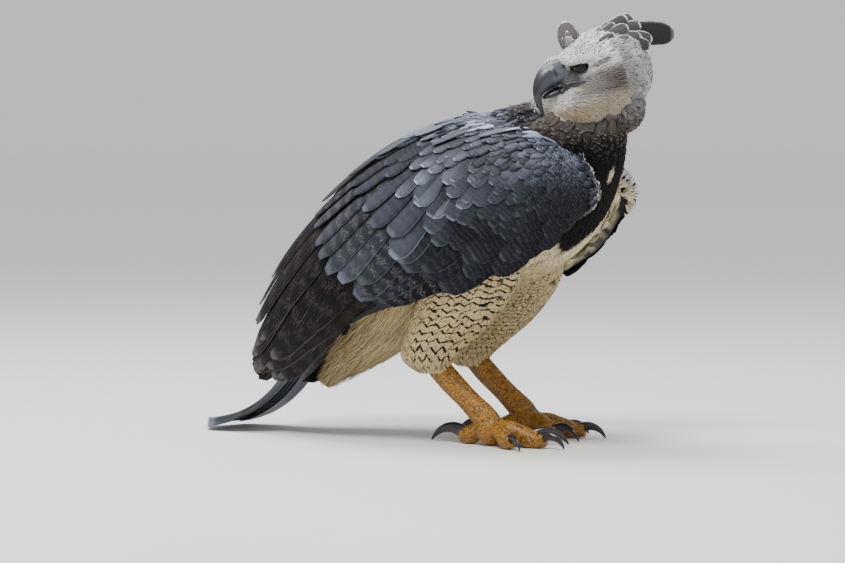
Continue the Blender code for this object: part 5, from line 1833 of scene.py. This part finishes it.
def tarsus_rings(side):
    """Rings down one tarsus, and its front line, where its broad plates lie."""
    x, z, deep, wide = np.moveaxis(smooth(TARSUS, np.linspace(0, 4, LEG_ROWS)), -1, 0)
    path = np.stack([x, np.full_like(x, side * FOOT_Y), z], axis=-1)
    run = unit(np.gradient(path, axis=0))
    upward = np.stack([-run[:, 2], 0 * x, run[:, 0]], axis=-1)
    phi = np.arange(40) * TAU / 40
    rings = path[:, None] + np.array([0.0, 1.0, 0.0]) * (np.cos(phi) * wide[:, None])[..., None]
    rings = rings + upward[:, None] * (np.sin(phi) * deep[:, None])[..., None]
    return rings, path + upward * deep[:, None]


def make_leg(side, material):
    """The bare skin of one tarsus and foot with its scales."""
    word = SIDE_NAMES[side]
    rings, front = tarsus_rings(side)
    palm = np.array([FOOT_X, side * FOOT_Y, PALM_HEIGHT])
    reach = (PALM_RADIUS * 1.1, PALM_RADIUS, PALM_RADIUS)
    lofts = [loft_arrays(rings), loft_arrays(ellipsoid_rings(palm, reach, 24, 32))]
    ridge = []
    for name in TOES:
        toe, radii, _ = toe_path(side, name)
        knuckle = 1 + 0.07 * np.cos(np.linspace(0, 1, len(toe)) * TAU * 3.0)
        lofts.append(loft_arrays(tube_grid(toe, radii * knuckle, 28)))
        ridge += [toe[i] + np.array([0, 0, radii[i]]) for i in range(4, len(toe) - 1, 2)]
    ridge += list(front[3:28])
    piece = fused(f"leg_skin_{word}", lofts, LEG_VOXEL, 3)
    scale_skin(piece, ridge)
    unwrap(piece)
    piece.data.materials.append(material)
    settle(piece, ("tarsus_" + word, "foot_" + word))


def make_claws(side, material):
    """The hooked claws of one foot."""
    word = SIDE_NAMES[side]
    t = np.linspace(0, 1, 30)
    tint = mix(CLAW_ROOT, CLAW_TIP, step(0.0, 0.25, t))[:, None]
    for name, (_, length, _, arc, thick) in TOES.items():
        _, _, ahead = toe_path(side, name)
        end = -math.acos(math.cos(CLAW_LIFT) - (CLAW_ROOT_HEIGHT - CLAW_TIP_HEIGHT) / arc)
        angle = CLAW_LIFT + (end - CLAW_LIFT) * t
        out = arc * (math.sin(CLAW_LIFT) - np.sin(angle)) + length * 0.93
        rise = arc * (np.cos(angle) - math.cos(CLAW_LIFT))
        base = np.array([FOOT_X, side * FOOT_Y, CLAW_ROOT_HEIGHT])
        claw = base + ahead * out[:, None] + UP * rise[:, None]
        radii = thick * (1 - t) ** 0.75 + CLAW_TIP_RADIUS * t
        grid = tube_grid(claw, radii, 24, 0.72, 0.22)
        grid[..., 2] = np.maximum(grid[..., 2], 0.0002)
        values = {"tint": np.broadcast_to(tint, grid.shape)}
        settle(grid_piece(f"talon_{name}_{word}", grid, values, material), (f"claw_{name}_{word}",))


def tree_of(spots):
    """A search tree of points."""
    tree = kdtree.KDTree(len(spots))
    for i, spot in enumerate(spots):
        tree.insert(spot, i)
    tree.balance()
    return tree


def scale_spots(points, ridge, chance):
    """Middles of scales: those of the ridge, and others as close as the gap allows."""
    tree = tree_of(ridge)
    kept = [tuple(spot) for spot in ridge]
    cells = {}
    for i in chance.permutation(len(points)):
        spot = points[i]
        if tree.find(spot)[2] < PLATE_REACH:
            continue
        a, b, c = (spot // SCALE_GAP).astype(int)
        around = itertools.product((a - 1, a, a + 1), (b - 1, b, b + 1), (c - 1, c, c + 1))
        near = [cells[key] for key in around if key in cells]
        if any(((other - spot) ** 2).sum() < SCALE_GAP * SCALE_GAP for other in near):
            continue
        cells[a, b, c] = spot
        kept.append(tuple(spot))
    return kept


def scale_skin(piece, ridge):
    """Raise a leg's skin into scales: broad plates along the ridge and small ones elsewhere."""
    points = mesh_points(piece.data)
    chance = np.random.default_rng(61)
    kept = scale_spots(points, ridge, chance)
    tree = tree_of(kept)
    groove, cell = np.empty(len(points)), np.empty(len(points), int)
    for i, spot in enumerate(points):
        (_, first, near), (_, _, far) = tree.find_n(spot, 2)
        groove[i] = (far - near) / (far + near)
        cell[i] = first
    plate = step(0.0, 0.30, groove)
    normals = np.empty(len(points) * 3, np.float32)
    piece.data.vertices.foreach_get("normal", normals)
    moved = points + SHIFT + normals.reshape(-1, 3) * ((plate - 0.6) * SCALE_RISE)[:, None]
    moved[:, 2] = np.maximum(moved[:, 2], 0.0)
    piece.data.vertices.foreach_set("co", moved.astype(np.float32).ravel())
    dark = chance.uniform(0, 1, len(kept))[cell]
    yellow = LEG_YELLOW * (0.75 + 0.4 * chance.uniform(0, 1, len(kept)))[cell][:, None]
    colour = mix(yellow, LEG_DARK, (dark > 0.84) * 0.7)
    paint(piece.data, "tint", mix(LEG_GROOVE, colour, step(0.02, 0.24, groove)))
    piece.data.shade_smooth()
    piece.data.update()


def plain_material(name, roughness, scale, **inputs):
    """A surface in its own painted colours, with fine grain and bump."""
    shade = Shade(name, roughness, **inputs)
    tint = shade.attribute("tint", "Color")
    grain = shade.noise(scale, 5.0)
    dark = shade.filter(tint, (0.55, 0.5, 0.5))
    return shade.finish(shade.mix(shade.ramp(grain, 0.35, 0.75), tint, dark), grain, 0.25, 0.0005)


def make_mantle(materials):
    """The slate feathers of the back between the neck and the wings."""
    chance = np.random.default_rng(71)
    flock = Flock()
    u, v, draw = scatter(TRUNK_SKIN, 0.0085, chance, (4.2, 0.03 * TAU), (6.2, 0.47 * TAU))
    order = np.argsort(u)
    u, v = u[order], v[order]
    tint = mix(SLATE * 1.2, SILVER_AND_SHEEN, draw.even(0.0, 0.55) ** 1.3)
    lay(
        flock, TRUNK_SKIN, u, v, draw.even(0.026, 0.042), draw.even(0.011, 0.016), tint, turn=draw.near(0.18),
        rows=6, columns=5, kind="paddle", depth=0.002, lift=draw.even(0.0012, 0.0028), camber=0.16,
        roll=draw.near(0.10), rim=draw.even(0.0, 0.5), bars=0.1, seed=draw.even(), thickness=0.0004,
    )
    flock.build("mantle", materials["covert"], ("torso", "neck"))


def wing_edge_surface(side):
    """The rounded front edge of one wing: round the edge, then down it."""

    def at(u, v):
        face = wing_at(side)
        wrist, down = np.zeros_like(u * v), v + 0 * u
        outer = face(wrist, down)
        ahead = unit(outer - face(wrist + 0.3, down))
        drop = face(wrist, down + 0.01) - face(wrist, down - 0.01)
        out = unit(np.cross(drop, -ahead)) * side
        thick = 0.5 * wing_thickness(wrist, down)[..., None]
        across, forward = np.cos(u + 0 * v)[..., None], np.sin(u + 0 * v)[..., None]
        return outer - out * thick + out * thick * across + ahead * thick * 0.75 * forward

    return Surface(at, side, (0.0, 0.0), (math.pi, 1.0))


def make_wing_edge(side, materials):
    """The small feathers round the front edge of one wing, pale along the fold."""
    chance = np.random.default_rng(83)
    surface = wing_edge_surface(side)
    flock = Flock()
    u, v, draw = scatter(surface, 0.0040, chance, (0.0, 0.02), (math.pi, 0.98))
    inner = step(1.75, 2.15, u)
    fleck = np.exp(-(((u - 1.48) / 0.42) ** 2)) * (draw.even() < 0.9)
    tint = mix(SLATE * draw.column(0.7, 1.6), PALE * 1.1, fleck)
    tint = mix(tint, lining_tint(0 * u, v, surface.at(u, v)), inner)
    lay(
        flock, surface, u, v, draw.even(0.008, 0.013), draw.even(0.005, 0.007) * (1 - 0.4 * fleck), tint,
        turn=draw.near(0.25), rows=5, kind="scale", depth=0.001, lift=0.0014 + 0.0022 * fleck, camber=0.14,
        rim=0.15 * (1 - inner), seed=draw.even(), thickness=0.0003,
    )
    flock.build(f"wing_edge_{SIDE_NAMES[side]}", materials["covert"], WING_NODES[side])


def make_materials():
    """The feather materials, by name."""
    return {
        "down": feather_material("soft_feathers", (0.30, 0.29, 0.28), 0.9, **FLUFFY, relief=0.10),
        "barred": feather_material(
            "barred_feathers", (0.80, 0.75, 0.63), 0.85, **FLUFFY, pattern=zigzags, bar=(0.010, 0.009, 0.009),
            relief=0.10,
        ),
        "ruff": feather_material("ruff_feathers", (0.24, 0.217, 0.200), 0.85, **FLUFFY, edge=0.74),
        "head": feather_material(
            "head_feathers", (0.84, 0.83, 0.82), 0.80, pitch=24.0, slant=4.0, pattern=flecks,
            bar=(0.10, 0.088, 0.085), relief=0.25, edge=0.68,
        ),
        "crest": feather_material("crest_feathers", (0.74, 0.73, 0.72), 0.7, pitch=70.0, edge=0.84),
        # The coverts' pale blue rims are partly real pale edges and partly painted highlight, and their
        # painted highlight also lightens the outer halves.
        "covert": feather_material(
            "wing_coverts", (0.57, 0.65, 0.82), 0.50, pattern=mottle, bar=(0.15, 0.14, 0.14), painted_highlight=0.52,
            edge=0.84,
        ),
        "flight": feather_material(
            "flight_feathers", (0.15, 0.13, 0.12), 0.55, pitch=150.0, slant=14.0, pattern=mottle,
            bar=(0.050, 0.041, 0.038), edge=0.86,
        ),
        "tail": feather_material(
            "tail_feathers", (0.36, 0.38, 0.42), 0.5, pitch=200.0, slant=14.0, pattern=bands,
            bar=(0.15, 0.145, 0.14), edge=0.86,
        ),
    }


def make_camera():
    """The photograph's camera."""
    across = np.array([math.cos(VIEW_AZIMUTH), math.sin(VIEW_AZIMUTH), 0.0])
    level = np.array([math.sin(VIEW_AZIMUTH), -math.cos(VIEW_AZIMUTH), 0.0])
    toward = level * math.cos(VIEW_ELEVATION) + np.array([0.0, 0.0, math.sin(VIEW_ELEVATION)])
    target = across * VIEW_ACROSS + np.array([0, 0, VIEW_HEIGHT]) + SHIFT
    data = bpy.data.cameras.new("camera")
    data.sensor_width = SENSOR
    data.lens = SENSOR * VIEW_DISTANCE / (METRES_PER_PIXEL * PHOTO_WIDTH)
    camera = add_object("camera", data)
    camera.location = Vector(target + toward * VIEW_DISTANCE)
    camera.rotation_euler = Vector(-toward).to_track_quat("-Z", "Y").to_euler()
    bpy.context.scene.camera = camera


def make_light(name, place, width, power, colour):
    """One soft round lamp that faces the bird's middle."""
    data = bpy.data.lights.new(name, "AREA")
    data.shape = "DISK"
    data.size = width
    data.energy = power
    data.color = colour
    lamp = add_object(name, data)
    lamp.location = place
    lamp.rotation_euler = (Vector(LAMP_TARGET) - Vector(place)).to_track_quat("-Z", "Y").to_euler()


def make_stage():
    """A plain pale floor, soft lamps and a pale room."""
    mesh = bpy.data.meshes.new("floor")
    angles = [TAU * i / FLOOR_SIDES for i in range(FLOOR_SIDES)]
    rim = [(FLOOR_REACH * math.cos(angle), FLOOR_REACH * math.sin(angle), 0) for angle in angles]
    mesh.from_pydata(rim, [], [tuple(range(FLOOR_SIDES))])
    floor = add_object("floor", mesh)
    shade = Shade("floor_finish", 0.9)
    near = shade.mix(shade.noise(3.0), (0.74, 0.74, 0.73), (0.78, 0.78, 0.77))
    place = shade.node("TexCoord", {}).outputs["Object"]
    away = shade.node("VectorMath", {0: place}, operation="LENGTH").outputs["Value"]
    mesh.materials.append(shade.finish(shade.mix(shade.ramp(away, 0.8, 9.0), near, (0.98, 0.98, 0.985))))
    for name, looks in LAMPS.items():
        make_light(name, *looks)
    world = bpy.data.worlds.new("room")
    world.use_nodes = True
    sky = world.node_tree.nodes["Background"]
    sky.inputs["Color"].default_value = (0.97, 0.97, 0.98, 1.0)
    sky.inputs["Strength"].default_value = 0.74
    bpy.context.scene.world = world


def main():
    """The whole dressed bird."""
    make_camera()
    make_stage()
    materials = make_materials()
    make_body_skin()
    make_body_coats(materials)
    make_head_coat(materials)
    make_crest(materials)
    make_brows(materials)
    make_mantle(materials)
    horn = bill_material()
    eye = plain_material("eye_surface", 0.05, 900.0, Specular_IOR_Level=0.25)
    lid = plain_material("lid_skin", 0.55, 800.0)
    scales = plain_material("leg_scales", 0.5, 500.0)
    claws = plain_material("claw_horn", 0.28, 300.0, Coat_Weight=0.2)
    make_bill(horn)
    for side in (RIGHT, LEFT):
        make_wing(side, materials)
        make_wing_edge(side, materials)
        make_eye(side, eye)
        make_lids(side, lid)
        make_gape(side, horn)
        make_leg(side, scales)
        make_claws(side, claws)
    make_tail(materials)


main()
